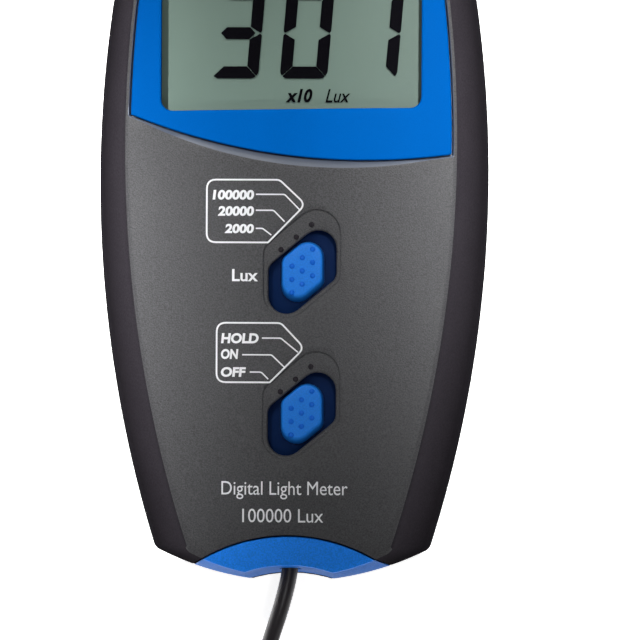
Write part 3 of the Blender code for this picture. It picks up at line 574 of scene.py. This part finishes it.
def bezel_outline(grow=0.0):
    """Sides that follow the face's edge, with a low arc and a high arc."""
    half_width = FACE.half_width - BEZEL_MARGIN + grow
    radius = FACE.side_radius - BEZEL_MARGIN + grow
    low_radius, high_radius = BEZEL_LOW_ARC.radius + grow, BEZEL_HIGH_ARC.radius + grow

    def side_x(y):
        return math.sqrt(radius**2 - (y - FACE.widest_y) ** 2) - (radius - half_width)

    def low_y(x):
        return BEZEL_LOW_ARC.y - math.sqrt(low_radius**2 - (x - BEZEL_LOW_ARC.x) ** 2)

    def high_y(x):
        return BEZEL_HIGH_ARC.y + math.sqrt(high_radius**2 - x**2)

    across, up = 60, 24
    left, right = low_y(-half_width), low_y(half_width)
    high = high_y(side_x(45.0))
    points = []
    for i in range(across + 1):
        x = -side_x(left) + (side_x(left) + side_x(right)) * i / across
        points.append((x, low_y(x)))
    points += [(side_x(y), y) for y in (right + (high - right) * i / up for i in range(1, up))]
    points += [(x, high_y(x)) for x in (side_x(high) * (1 - i / 20) for i in range(41))]
    points += [(-side_x(y), y) for y in (high + (left - high) * i / up for i in range(1, up))]
    return rounded(points, 0.45)


def rounded(points, radius, sharp=25.0, steps=4, closed=True):
    """A line with its corners sharper than sharp degrees made round. A point may bring its own radius."""
    made = []
    count = len(points)
    for i in range(count):
        if not closed and i in (0, count - 1):
            made.append(points[i])
            continue
        before, here, after = (Vector(points[(i + k) % count][:2]) for k in (-1, 0, 1))
        into, out = (here - before).normalized(), (after - here).normalized()
        turn = math.degrees(abs(into.angle_signed(out))) if into.length and out.length else 0.0
        if turn < sharp:
            made.append(tuple(here))
            continue
        wanted = points[i][2] if len(points[i]) > 2 else radius
        reach = wanted * math.tan(math.radians(turn) / 2)
        reach = min(reach, (here - before).length * 0.9, (after - here).length * 0.9)
        made += quadratic(here - into * reach, here, here + out * reach, steps)
    return made


def quadratic(first, control, last, steps):
    shares = [k / steps for k in range(steps + 1)]
    return [tuple(first * (1 - t) ** 2 + control * 2 * t * (1 - t) + last * t**2) for t in shares]


def window_outline(grow=0.0):
    corners = (
        (WINDOW_LEFT - grow, WINDOW_LOW_LEFT - grow, math.pi),
        (WINDOW_RIGHT + grow, WINDOW_LOW_RIGHT - grow, 1.5 * math.pi),
        (WINDOW_RIGHT + grow, WINDOW_HIGH + grow, 0.0),
        (WINDOW_LEFT - grow, WINDOW_HIGH + grow, 0.5 * math.pi),
    )
    radius = WINDOW_RADIUS + grow
    points = []
    for x, y, start in corners:
        centre = (x - math.copysign(radius, x), y + (radius if y < WINDOW_MIDDLE_Y else -radius))
        points += arc(centre, radius, start, start + math.pi / 2, 8)
    return points


def spoke_sampler(centre, angles):
    """A function that reads any outline round centre at the given directions."""
    def sample(outline):
        polar = []
        for x, y in outline:
            dx, dy = x - centre[0], y - centre[1]
            polar.append((math.atan2(dy, dx) % (2 * math.pi), dx, dy))
        polar.sort()
        wrapped = [(polar[-1][0] - 2 * math.pi, *polar[-1][1:])] + polar
        wrapped.append((polar[0][0] + 2 * math.pi, *polar[0][1:]))
        points = []
        for angle in angles:
            k = next(i for i in range(1, len(wrapped)) if wrapped[i][0] >= angle - 1e-12)
            (_, ax, ay), (_, bx, by) = wrapped[k - 1], wrapped[k]
            ux, uy = math.cos(angle), math.sin(angle)
            ex, ey = bx - ax, by - ay
            cross = ux * ey - uy * ex
            reach = (ax * ey - ay * ex) / cross if abs(cross) > 1e-9 else math.hypot(bx, by)
            points.append((centre[0] + ux * reach, centre[1] + uy * reach))
        return points
    return sample


# ---- camera and stage

CAMERA_FROM = Vector((0.040, -0.0263, 1.0))
CAMERA_AT = Vector((0.0049, -0.0263, 0.017))
CAMERA_FIELD = 0.1185
CAMERA_ROLL = math.radians(-0.31)
SENSOR_WIDTH = 36.0

FLOOR_HALF = 3.0
FLOOR_DROP = 0.0001
FLOOR_GLOW = 0.8

# The world is a pale backdrop at the horizon and below, and darkens to WORLD_LIGHT further up.
BACKDROP_LIGHT = 1.0
BACKDROP_HEIGHT = 0.4
WORLD_LIGHT = 0.14

# Soft spots: name, place, aim, reach and power. Each lights a round patch about its aim, as wide as its
# reach either way, and fades to the patch's edge.
LAMP_RADIUS = 0.03
LAMPS = (
    ("left_lamp", (-0.3, 0.3, 0.9), (-0.12, -0.0033, 0.034), 0.1141, 189.0),
    ("right_lamp", (0.2, 0.25, 0.95), (0.12, 0.021, 0.034), 0.124, 155.0),
    ("top_lamp", (0.0, 0.6, 0.8), (-0.023, 0.0, 0.034), 0.0936, 6.6),
    ("wide_lamp", (0.0, -0.45, 1.1), (0.0, -0.08, 0.0), 0.5, 6.0),
    ("head_lamp", (-0.16, -0.5, 0.7), (-0.007, -0.206, 0.02), 0.1, 18.0),
)


def make_camera():
    data = bpy.data.cameras.new("camera")
    camera = add_object("camera", data)
    look = CAMERA_AT - CAMERA_FROM
    back = -look.normalized()
    up = Vector((math.sin(CAMERA_ROLL), math.cos(CAMERA_ROLL), 0.0))
    right = up.cross(back).normalized()
    up = back.cross(right)
    turn = Matrix((right, up, back)).transposed()
    camera.matrix_world = Matrix.Translation(CAMERA_FROM) @ turn.to_4x4()
    data.sensor_width = SENSOR_WIDTH
    data.lens = data.sensor_width * look.length / CAMERA_FIELD
    data.clip_start, data.clip_end = 0.05, 20.0
    bpy.context.scene.camera = camera


def make_floor():
    paper = Surface("paper_floor", (0.93, 0.93, 0.93, 1.0), 0.85)
    paper.set("Specular IOR Level", 0.1)
    paper.set("Emission Color", (1.0, 1.0, 1.0, 1.0))
    paper.set("Emission Strength", FLOOR_GLOW)
    paper.mottle(paper.noise(60.0), 0.006)
    bm = bmesh.new()
    bmesh.ops.create_grid(bm, x_segments=8, y_segments=8, size=FLOOR_HALF / MM)
    floor = finish_mesh("floor", bm)
    floor.data.materials.append(paper.material)
    floor.location.z = -FLOOR_DROP


def make_world():
    world = bpy.data.worlds.new("studio")
    bpy.context.scene.world = world
    world.use_nodes = True
    tree = world.node_tree
    sky = tree.nodes["Background"]
    sky.inputs["Color"].default_value = (1.0, 1.0, 1.0, 1.0)
    direction = tree.nodes.new("ShaderNodeTexCoord").outputs["Generated"]
    parts = tree.nodes.new("ShaderNodeSeparateXYZ")
    height = tree.nodes.new("ShaderNodeMapRange")
    for name, value in (("From Max", BACKDROP_HEIGHT), ("To Min", BACKDROP_LIGHT), ("To Max", WORLD_LIGHT)):
        height.inputs[name].default_value = value
    tree.links.new(direction, parts.inputs["Vector"])
    tree.links.new(parts.outputs["Z"], height.inputs["Value"])
    tree.links.new(height.outputs["Result"], sky.inputs["Strength"])


def make_lamp(name, place, aim, reach, power):
    light = bpy.data.lights.new(name, "SPOT")
    away = Vector(aim) - Vector(place)
    light.spot_size = 2 * math.atan(reach / away.length)
    light.spot_blend = 1.0
    light.shadow_soft_size = LAMP_RADIUS
    light.energy = power
    lamp = add_object(name, light)
    lamp.location = place
    lamp.rotation_euler = away.to_track_quat("-Z", "Y").to_euler()


# ---- the cord

def smooth_route(points, spacing):
    """Evenly spaced points along a smooth curve through the given ones."""
    points = [Vector(p) for p in points]
    ends = [2 * points[0] - points[1], *points, 2 * points[-1] - points[-2]]
    fine = [points[0]]
    for a, b, c, d in zip(ends, ends[1:], ends[2:], ends[3:]):
        for step in range(1, 21):
            t = step / 20
            pull = (c - a) * t + (2 * a - 5 * b + 4 * c - d) * t**2 + (3 * b - a - 3 * c + d) * t**3
            fine.append(b + pull / 2)
    length = sum((q - p).length for p, q in zip(fine, fine[1:]))
    count = max(2, round(length / spacing))
    route, walked, wanted = [fine[0]], 0.0, length / count
    for p, q in zip(fine, fine[1:]):
        walked += (q - p).length
        if walked >= wanted - 1e-6:
            route.append(q)
            wanted += length / count
    return route


def coil_points(steps=26):
    """The coil from its top layer down: each layer winds in or out, and the next lies on it."""
    centre = Vector(((COIL_LOW.x + COIL_HIGH.x) / 2, (COIL_LOW.y + COIL_HIGH.y) / 2))
    outer = (COIL_HIGH.x - COIL_LOW.x) / 2 - CORD_RADIUS
    inner = outer - COIL_WIDTH
    top, low = COIL_HIGH.z - CORD_RADIUS, CORD_RADIUS + 0.05
    points = []
    count = COIL_TURNS * steps
    for i in range(count + 1):
        angle = math.pi + 2 * math.pi * i / steps
        layer_at = COIL_LAYERS * i / count
        layer = min(int(layer_at), COIL_LAYERS - 1)
        along = layer_at - layer
        radius = outer + (inner - outer) * (along if layer % 2 == 0 else 1 - along)
        radius += COIL_WAVER * math.sin(1.7 * angle + layer)
        drop = layer + max(0.0, (along - 0.93) / 0.07) if layer < COIL_LAYERS - 1 else layer
        z = top + (low - top) * drop / (COIL_LAYERS - 1)
        x, y = centre.x + radius * math.cos(angle), centre.y + radius * math.sin(angle)
        points.append(Vector((x, y, z)))
    return points


def make_cord():
    """One cord: out of the end cap, down to its coil on the table, and on to the sensor head."""
    side_x = COIL_LOW.x + CORD_RADIUS
    top_z = COIL_HIGH.z - CORD_RADIUS
    relief_low, relief_high = box_mm("sensor_strain_relief")
    relief_x, relief_z = (relief_low.x + relief_high.x) / 2, (relief_low.z + relief_high.z) / 2
    lead = [
        (0.0, CORD_START_Y, EXIT_Z),
        (-0.2, -73.0, EXIT_Z),
        (-1.5, -78.5, EXIT_Z - 0.5),
        (-3.6, -85.0, EXIT_Z - 3.0),
        (-5.8, -92.0, EXIT_Z - 7.4),
        (-7.8, -99.5, top_z + 2.8),
        (side_x + 0.3, -106.0, top_z + 0.5),
        (side_x, -112.0, top_z),
    ]
    tail = [
        (side_x, -132.0, CORD_RADIUS + 0.05),
        (side_x + 0.2, -139.0, CORD_RADIUS + 0.2),
        (side_x + 0.9, -145.0, 3.8),
        (relief_x - 0.5, -151.5, 8.2),
        (relief_x, relief_high.y + 4.0, relief_z),
        (relief_x, relief_high.y + 0.4, relief_z),
    ]
    route = smooth_route([*lead, *coil_points(), *tail], CORD_SPACING)
    cord = tube("cord", route, CORD_RADIUS, "cord")
    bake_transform(cord)
    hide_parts("cord_lead", "cord_coil", "cord_tail")
    length = sum((b - a).length for a, b in zip(route, route[1:])) * MM


def tube(name, route, radius, look):
    """A closed round tube along a route."""
    curve = bpy.data.curves.new(name, "CURVE")
    curve.dimensions = "3D"
    curve.bevel_depth = radius
    curve.bevel_resolution = 3
    curve.use_fill_caps = True
    spline = curve.splines.new("POLY")
    spline.points.add(len(route) - 1)
    for point, place in zip(spline.points, route):
        point.co = (*place, 1.0)
    bm = curve_mesh(curve)
    bmesh.ops.remove_doubles(bm, verts=bm.verts, dist=0.01)
    return finish_mesh(name, bm, look, 50.0)


# ---- the case

def low_side(curve, x):
    """The height at x of an arc's low side."""
    return curve.y - math.sqrt(curve.radius**2 - (x - curve.x) ** 2)


def ledge_cutter():
    """A wedge that is shallow at the ledge's low edge and deep at the bezel."""
    half = FACE.half_width - BEZEL_MARGIN + 1.2
    rings = []
    steps = 60
    for i in range(steps + 1):
        x = -half + 2 * half * i / steps
        inner = low_side(BEZEL_LOW_ARC, x) - 0.2
        outer = min(low_side(LEDGE_ARC, x), inner - 0.02)
        depth = LEDGE_DEPTH * min(1.0, (inner - outer) / 1.6)
        rings.append([
            (x, outer, face_z(x, outer) + 0.01),
            (x, inner, face_z(x, inner) - depth),
            (x, inner + 1.4, face_z(x, inner) - depth),
            (x, inner + 1.4, face_z(x, inner) + 3.0),
            (x, outer, face_z(x, outer) + 3.0),
        ])
    # Its faces take the ledge look, whose blue tint is a painted reflection of the bezel.
    return loft("ledge_cutter", rings, "ledge", 20.0)


def bezel_pocket():
    """The cutter for the bezel's pocket. Its floor runs parallel to the crowned face."""
    lip = round_lip(lambda grow: bezel_outline(BEZEL_GAP + grow), 30.0, face_z, 0.3)
    middle_y = BEZEL_MIDDLE_Y
    floor = []
    for share in (0.04, 0.3, 0.55, 0.78, 0.93, 1.0):
        places = [(x * share, middle_y + (y - middle_y) * share) for x, y in bezel_outline(BEZEL_GAP)]
        floor.append([(x, y, face_z(x, y) - 1.75) for x, y in places])
    return loft("pocket", floor + lip[1:], "ledge", 20.0)


def cut_switch_recess(shell, y):
    """Cuts the recess and opening for the knob at y, and raises the three dots of its places."""
    recess_outline = partial(slanted_outline, RECESS, (RECESS_PLACE[0], y + RECESS_PLACE[1]))
    opening_outline = partial(slanted_outline, OPENING, (OPENING_X, y))
    recess = round_lip(recess_outline, RECESS_FLOOR, face_z, 0.25)
    opening = round_lip(opening_outline, 28.0, lambda px, py: RECESS_FLOOR, 0.35)
    carve(shell, "DIFFERENCE", loft("recess", recess, "face"), loft("opening", opening, "face"))
    along = Vector((math.cos(SLOPE), math.sin(SLOPE)))
    for step in (-DOT_PITCH, 0.0, DOT_PITCH):
        spot = Vector((DOT_PLACE[0], y + DOT_PLACE[1])) + along * step
        sunk = [(0.5, RECESS_FLOOR - 0.85), (0.5, RECESS_FLOOR)]
        dome = [(radius, RECESS_FLOOR + rise) for radius, rise in ((0.45, 0.22), (0.3, 0.36), (0.08, 0.4))]
        # The dots wear the band look, whose dark colour is painted shade standing in for their shadows.
        carve(shell, "UNION", turned("dot", sunk + dome, spot, "band", 20))


def make_front_shell():
    shell = loft("front_shell", front_rings(), "face", 30.0)
    colour_side_band(shell.data)
    carve(shell, "DIFFERENCE", loft("front_hollow", front_rings(WALL, PARTING_Z - 2.0), "band"))
    carve(shell, "DIFFERENCE", ledge_cutter(), bezel_pocket())
    carve(shell, "DIFFERENCE", block("lens_opening", *LENS_OPENING, "face"))
    for low, high in KNOBS.values():
        cut_switch_recess(shell, (low.y + high.y) / 2)
    carve(shell, "DIFFERENCE", cap_cutter())
    shade(shell.data, 32.0)
    piece(shell, "meter", "case", "front_case")


def cap_circle(grow):
    return circle((0.0, CAP_CENTRE_Y), CAP_RADIUS + grow, CAP_SIDES)


def cap_cutter():
    """An upright cylinder that opens in a small round lip at the face."""
    rings = round_lip(lambda grow: cap_circle(CAP_GAP + grow), 8.0, face_z, 0.12)
    return loft("cap_room", rings, "face")


def colour_side_band(mesh):
    """Gives the faces outside the crease a second material: smoother, and darker as painted shade on the
    steep side band.
    """
    mesh.materials.append(LOOKS["band"])
    for face in mesh.polygons:
        face.material_index = 1 if face.normal.z < 0.8 else 0


def make_end_cap():
    cap = loft("end_cap_cover", front_rings(), "cap", 30.0)
    carve(cap, "INTERSECT", loft("cap_trim", cap_trim_rings(), "cap", 30.0))
    top = Vector((0.0, NOTCH_Y - NOTCH_RADIUS, PARTING_Z))
    lean = Vector((0.0, math.sin(NOTCH_LEAN), math.cos(NOTCH_LEAN)))
    notch = rod("notch", top - lean * 12.0, top + lean * 30.0, NOTCH_RADIUS, "cap", 180)
    carve(cap, "DIFFERENCE", notch)
    rings = []
    for radius, depth in ((3.2, -6.0), (3.2, -1.0), (2.75, 0.0), (2.3, 0.35), (2.1, 0.9), (2.1, 4.1)):
        rings.append([(x, MOUTH_Y + depth, z) for x, z in circle((0.0, EXIT_Z), radius, 48)])
    carve(cap, "DIFFERENCE", loft("exit_hole", rings, "cap"))
    shade(cap.data, 32.0)
    piece(cap, "meter", "cap", "end_cap")


def cap_trim_rings():
    """The cylinder that the cap is cut to, drawn in a little at the face so that its edge is round."""
    rings = []
    for grow, drop in ((0.0, 25.0), (0.0, 0.25), (-0.03, 0.12), (-0.1, 0.03), (-0.2, -0.05), (-0.6, -0.5)):
        rings.append([(x, y, face_z(x, max(y, -75.0)) - drop) for x, y in cap_circle(grow)])
    return rings


# ---- the display

def make_bezel():
    """The bezel: rounded at its outer edge, and falling in a short slope to its window."""
    centre = (0.0, WINDOW_MIDDLE_Y)
    count = 288
    angles = [2 * math.pi * i / count for i in range(count)]
    for x, y in window_outline() + bezel_outline()[::2]:
        angles.append(math.atan2(y - centre[1], x - centre[0]) % (2 * math.pi))
    angles = sorted(angles)
    angles = [a for a, b in zip(angles, [*angles[1:], 10.0]) if b - a > 0.002]
    sample = spoke_sampler(centre, angles)

    def under_face(points, drop):
        return [(x, y, face_z(x, y) - drop) for x, y in points]

    outer_edge = ((0.0, BEZEL_DEPTH), (0.0, 0.42), (-0.05, 0.27), (-0.15, 0.16), (-0.3, 0.105),
                  (-0.45, BEZEL_SUNK))
    inner_edge = ((0.5, BEZEL_SUNK), (0.3, 0.12), (0.14, 0.2), (0.04, 0.33), (0.0, 0.5),
                  (0.0, BEZEL_DEPTH))
    rings = [under_face(sample(bezel_outline(grow)), drop) for grow, drop in outer_edge]
    outer, inner = sample(bezel_outline()), sample(window_outline())
    for share in (0.15, 0.35, 0.6, 0.82):
        places = [(x, y) for x, y, z in between(outer, inner, share, 0.0)]
        rings.append(under_face(places, BEZEL_SUNK))
    rings += [under_face(sample(window_outline(grow)), drop) for grow, drop in inner_edge]
    piece(loft("bezel_frame", rings, "bezel", 40.0, closed=True), "meter", "bezel", "display_bezel")


SEGMENTS = {"0": "abcdef", "1": "bc", "3": "abgcd"}
DIGITS = (("3", -9.84), ("0", 2.79), ("1", 15.52))
DIGIT_BASE_Y = 17.81
DIGIT_THICKNESS = 0.06
DIGIT_LIFT = 0.4
DIGIT_WIDTH = 8.69
DIGIT_HEIGHT = 16.5
DIGIT_STROKE = 2.17
DIGIT_CORNER = 1.35
DIGIT_GAP = 0.085
DIGIT_LEAN = math.tan(math.radians(4.7))
DIGIT_BACK = 0.7         # how far a leaning digit's foot stands back from its middle


def low_bar():
    """The lowest bar of a digit, with mitred ends that meet the digit's round corners."""
    wide, stroke, radius = DIGIT_WIDTH, DIGIT_STROKE, DIGIT_CORNER
    right = arc((wide - radius, radius), radius, -math.pi / 4, -math.pi / 2, 4)
    right = [(x - DIGIT_GAP, y) for x, y in right]
    left = [(wide - x, y) for x, y in reversed(right)]
    return [*left, (stroke + DIGIT_GAP, stroke), (wide - stroke - DIGIT_GAP, stroke), *right][::-1]


def low_upright():
    """The lower right bar of a digit: a mitred foot on a round corner, and a point at the middle."""
    wide, stroke, radius = DIGIT_WIDTH, DIGIT_STROKE, DIGIT_CORNER
    foot = arc((wide - radius, radius), radius, -math.pi / 4, 0.0, 4)
    foot = [(x, y + DIGIT_GAP) for x, y in foot]
    middle = DIGIT_HEIGHT / 2 - DIGIT_GAP
    point = [(wide, middle - 0.3), (wide - 0.3, middle), (wide - stroke, middle - stroke / 2)]
    return [(wide - stroke, stroke + DIGIT_GAP), *foot, *point]


def middle_bar():
    """The bar across a digit's middle, with a point at either end."""
    wide, stroke, middle = DIGIT_WIDTH, DIGIT_STROKE, DIGIT_HEIGHT / 2
    half = [(stroke / 2 + DIGIT_GAP, middle), (stroke + DIGIT_GAP, middle - stroke / 2)]
    low = half + [(wide - x, y) for x, y in reversed(half)]
    return low + [(x, 2 * middle - y) for x, y in reversed(low[1:-1])]


def digit_bars():
    """Seven bars by their usual letters."""
    def over(outline):
        return [(x, DIGIT_HEIGHT - y) for x, y in outline]

    def across(outline):
        return [(DIGIT_WIDTH - x, y) for x, y in outline]

    low, upright = low_bar(), low_upright()
    return {
        "a": over(low), "b": over(upright), "c": upright, "d": low,
        "e": across(upright), "f": over(across(upright)), "g": middle_bar(),
    }


def make_lcd_digits():
    """Three digits as thin dark solids just above the liquid-crystal panel."""
    base_z = box_mm("lcd_panel")[1].z + DIGIT_LIFT
    bars = digit_bars()
    bm = bmesh.new()
    for digit, middle in DIGITS:
        left = middle - DIGIT_WIDTH / 2 - DIGIT_BACK
        for name in SEGMENTS[digit]:
            places = [(left + x + y * DIGIT_LEAN, DIGIT_BASE_Y + y) for x, y in bars[name]]
            add_plate(bm, places, base_z, DIGIT_THICKNESS)
    piece(finish_mesh("lcd_digits", bm, "segment", 30.0), "meter", "black_rubber")


def add_plate(bm, outline, z, thickness):
    low = [bm.verts.new((x, y, z)) for x, y in outline]
    high = [bm.verts.new((x, y, z + thickness)) for x, y in outline]
    bm.faces.new(reversed(low))
    bm.faces.new(high)
    for i in range(len(low)):
        j = (i + 1) % len(low)
        bm.faces.new((low[i], low[j], high[j], high[i]))


# ---- the switches

# How far each ring of the grip grows, drops below its top, and moves along Y, from its foot up.
GRIP_LEVELS = (
    (0.0, 3.4, 0.0), (-0.12, 1.7, 0.1), (-0.22, 0.75, 0.28), (-0.28, 0.42, 0.36), (-0.38, 0.18, 0.42),
    (-0.54, 0.05, 0.45), (-0.76, 0.0, 0.46), (-1.7, -0.02, 0.46), (-2.8, -0.03, 0.46),
)


def make_knob(kind):
    """A slide knob: a broad plate under the case, a raised grip with nine pips, and a socket below."""
    low, high = KNOBS[kind]
    centre = ((low.x + high.x) / 2, (low.y + high.y) / 2)
    top = high.z - GRIP_SUNK
    plate = []
    for grow, z in ((-0.15, PLATE_LOW), (0.0, PLATE_LOW + 0.15), (0.0, PLATE_HIGH - 0.2),
                    (-0.06, PLATE_HIGH - 0.06), (-0.2, PLATE_HIGH)):
        plate.append([(x, y, z) for x, y in slanted_outline(PLATE, centre, grow)])
    # The plate's dark navy look is painted shade on the knob's own blue.
    knob = loft(f"{kind}_slide_knob", plate, "plate", 40.0)
    grip = []
    for grow, drop, shift in GRIP_LEVELS:
        slant = GRIP._replace(side=GRIP.side - 1.4 * shift)
        outline = slanted_outline(slant, (centre[0], centre[1] + shift), grow)
        grip.append([(x, y, top - drop) for x, y in outline])
    carve(knob, "UNION", loft("grip", grip, "knob"))
    for column in (-1, 0, 1):
        x = centre[0] + column * PIP_COLUMN
        for row in (-1, 0, 1):
            y = centre[1] + PIP_LIFT + column * PIP_COLUMN * math.tan(SLOPE) + row * PIP_ROW
            pip = [(0.52, top - 0.3), (0.5, top), (0.42, top + 0.17), (0.27, top + 0.28), (0.07, top + 0.32)]
            # The pips take a deeper blue than the grip, as painted shade.
            carve(knob, "UNION", turned("pip", pip, (x, y), "pip", 16))
    carve(knob, "UNION", post("socket", centre, SOCKET_HALF, SOCKET_LOW, PLATE_LOW + 0.4))
    carve(knob, "DIFFERENCE", post("hole", centre, HOLE_HALF, 27.0, PLATE_LOW))
    shade(knob.data, 40.0)
    piece(knob, f"{kind}_slider", "knob", f"{kind}_knob")


def post(name, centre, half, low, high):
    """An upright square post that is turned to the knobs' line of travel."""
    x, y = centre
    return block(name, (x - half, y - half, low), (x + half, y + half, high), "knob", SLOPE)


# ---- printing

INK_THICKNESS = 0.05
FACE_LIFT = 0.02
CAPITAL = 0.729          # the height of Blender's own capital letters at size 1


def text_shape(words, left, right, base, cap, shear=0.0, embolden=0.0):
    """Flat filled lettering, stretched to run from left to right on its base line."""
    curve = bpy.data.curves.new("words", "FONT")
    curve.body = words
    curve.size = 1.0
    curve.shear = shear
    curve.offset = embolden
    curve.resolution_u = 4
    curve.fill_mode = "FRONT"
    bm = curve_mesh(curve)
    low = min(v.co.x for v in bm.verts)
    high = max(v.co.x for v in bm.verts)
    tall = CAPITAL + 2 * embolden
    for vert in bm.verts:
        vert.co.x = left + (vert.co.x - low) * (right - left) / (high - low)
        vert.co.y = base + (vert.co.y + embolden) * cap / tall
        vert.co.z = 0.0
    return bm


def raise_print(name, bm, height, ink="ink"):
    """Lays flat lettering on a surface and gives it a thickness."""
    bmesh.ops.remove_doubles(bm, verts=bm.verts, dist=0.004)
    for vert in bm.verts:
        vert.co.z = height(vert.co.x, vert.co.y)
    for face in bm.faces:
        if face.normal.z < 0:
            face.normal_flip()
    top = bmesh.ops.extrude_face_region(bm, geom=bm.faces[:])
    moved = [item for item in top["geom"] if isinstance(item, bmesh.types.BMVert)]
    bmesh.ops.translate(bm, verts=moved, vec=(0.0, 0.0, INK_THICKNESS))
    return finish_mesh(name, bm, ink, 30.0)


def merged(parts):
    """One mesh from several."""
    whole = bmesh.new()
    for part in parts:
        mesh = bpy.data.meshes.new("part")
        part.to_mesh(mesh)
        part.free()
        whole.from_mesh(mesh)
        bpy.data.meshes.remove(mesh)
    return whole


def line_shape(points, width, closed=False):
    """A flat line of even width through points."""
    bm = bmesh.new()
    points = [Vector(point) for point in points]
    count = len(points)
    lefts, rights = [], []
    for i, here in enumerate(points):
        before = points[i - 1] if i or closed else here
        after = points[(i + 1) % count] if i < count - 1 or closed else here
        into = (here - before).normalized() if here != before else (after - here).normalized()
        out = (after - here).normalized() if after != here else into
        across = Vector((-(into + out).y, (into + out).x)).normalized()
        reach = width / 2 / max(0.4, across.dot(Vector((-out.y, out.x))))
        lefts.append(bm.verts.new((*(here + across * reach), 0.0)))
        rights.append(bm.verts.new((*(here - across * reach), 0.0)))
    for i in range(count if closed else count - 1):
        j = (i + 1) % count
        bm.faces.new((rights[i], rights[j], lefts[j], lefts[i]))
    return bm


def subdivided(points, longest=1.5, closed=False):
    """A line with points added so that it follows the crowned face."""
    made = []
    ends = [*points[1:], points[0]] if closed else points[1:]
    for a, b in zip(points, ends):
        a, b = Vector(a), Vector(b)
        parts = max(1, math.ceil((b - a).length / longest))
        made += [tuple(a + (b - a) * k / parts) for k in range(parts)]
    return made if closed else [*made, tuple(points[-1])]


# Each label has a frame, whose points bring their corner's radius; words, each with its left end, right
# end, base line and height; and a leader from each word towards the dot of its place.
LABEL_LINE = 0.31
LABELS = {
    "range": {
        "frame": [(-15.2, -0.85, 1.7), (-1.95, -0.85, 1.5), (2.8, -5.3, 1.4), (-4.0, -12.25, 0.35),
                  (-15.2, -12.25, 1.7)],
        "words": [
            ("100000", -14.15, -6.58, -4.48, 1.86),
            ("20000", -13.17, -6.58, -7.43, 1.86),
            ("2000", -11.89, -6.58, -10.58, 1.77),
        ],
        "leaders": [
            [(-6.24, -3.5), (-1.0, -3.5), (1.75, -6.3)],
            [(-6.24, -6.4), (-3.0, -6.4), (-1.0, -8.45)],
            [(-6.24, -9.69), (-5.0, -9.69), (-3.4, -10.9)],
        ],
    },
    "power": {
        "frame": [(-13.27, -26.89, 1.7), (-1.57, -26.89, 1.5), (2.7, -31.4, 1.4), (-3.54, -37.7, 0.35),
                  (-13.27, -37.7, 1.7)],
        "words": [
            ("HOLD", -12.48, -5.6, -30.62, 1.96),
            ("ON", -12.48, -9.3, -33.47, 1.91),
            ("OFF", -12.48, -7.9, -36.72, 1.87),
        ],
        "leaders": [
            [(-5.0, -29.64), (-1.57, -29.64), (1.57, -32.2)],
            [(-8.6, -32.69), (-3.24, -32.69), (-0.88, -34.95)],
            [(-7.2, -35.83), (-5.11, -35.83), (-3.83, -37.11)],
        ],
    },
}
TITLES = (
    ("Digital Light Meter", -12.28, 10.71, -58.14, 2.6),
    ("100000 Lux", -8.45, 6.29, -63.15, 2.6),
)


def on_face(x, y):
    return face_z(x, y) + FACE_LIFT


def make_labels():
    for kind, label in LABELS.items():
        border = subdivided(rounded(label["frame"], 1.5, 20.0, 6), 1.2, True)
        parts = [line_shape(border, LABEL_LINE, True)]
        for leader in label["leaders"]:
            leader = subdivided(rounded(leader, 0.8, closed=False))
            parts.append(line_shape(leader, LABEL_LINE * 0.8))
        for words, left, right, base, cap in label["words"]:
            parts.append(text_shape(words, left, right, base, cap, 0.1, 0.042))
        piece(raise_print(f"{kind}_label", merged(parts), on_face), "meter", "white")
    lux = raise_print("unit_label", text_shape("Lux", -10.52, -5.8, -19.32, 2.36, 0.0, 0.02), on_face)
    piece(lux, "meter", "white")
    titles = raise_print("title_label", merged([text_shape(*title) for title in TITLES]), on_face)
    piece(titles, "meter", "white")


def make_lcd_units():
    z = box_mm("lcd_panel")[1].z + DIGIT_LIFT
    parts = [
        text_shape("x10", -1.15, 3.78, 13.47, 2.57, 0.25, 0.035),
        text_shape("Lux", 6.15, 10.69, 13.47, 2.57, 0.3, 0.008),
    ]
    piece(raise_print("lcd_units", merged(parts), lambda x, y: z, "segment"), "meter", "black_rubber")


# ---- CAD nodes that keep their mesh

CAD_LOOKS = {
    "back": "rear_case battery_door sensor_lower_shell",
    "clear": "window_lens",
    "lcd": "lcd_panel",
    "white": "lcd_holder sensor_lead_socket range_switch_lever power_switch_lever",
    "rubber": "zebra_strip battery_snap battery_lead_black sensor_strain_relief",
    "board": "main_pcb sensor_board",
    "chip": "meter_chip filter_capacitor range_switch_body power_switch_body",
    "trimmer": "range_trimmer",
    "cord": "sensor_lead_inner",
    "battery": "battery_9v",
    "red": "battery_lead_red",
    "face": "sensor_upper_shell",
    "diffuser": "diffuser_dome",
    "cap": "diffuser_ring",
    "steel": "photodiode",
    "filter": "colour_filter",
}


def dress_cad_nodes():
    """Gives every CAD node that is carried over its own look. The fasteners are steel."""
    looks = {node: look for look, nodes in CAD_LOOKS.items() for node in nodes.split()}
    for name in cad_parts:
        look = looks.get(name, "steel" if "screw" in name else None)
        obj = bpy.data.objects.get(name)
        if look and obj:
            obj.data.materials.clear()
            obj.data.materials.append(LOOKS[look])


LOOKS = make_materials()
make_camera()
make_floor()
make_world()
for lamp in LAMPS:
    make_lamp(*lamp)
bpy.context.scene.view_settings.view_transform = "Standard"
make_cord()
make_front_shell()
make_bezel()
make_end_cap()
for kind in KNOBS:
    make_knob(kind)
make_lcd_digits()
make_lcd_units()
make_labels()
dress_cad_nodes()
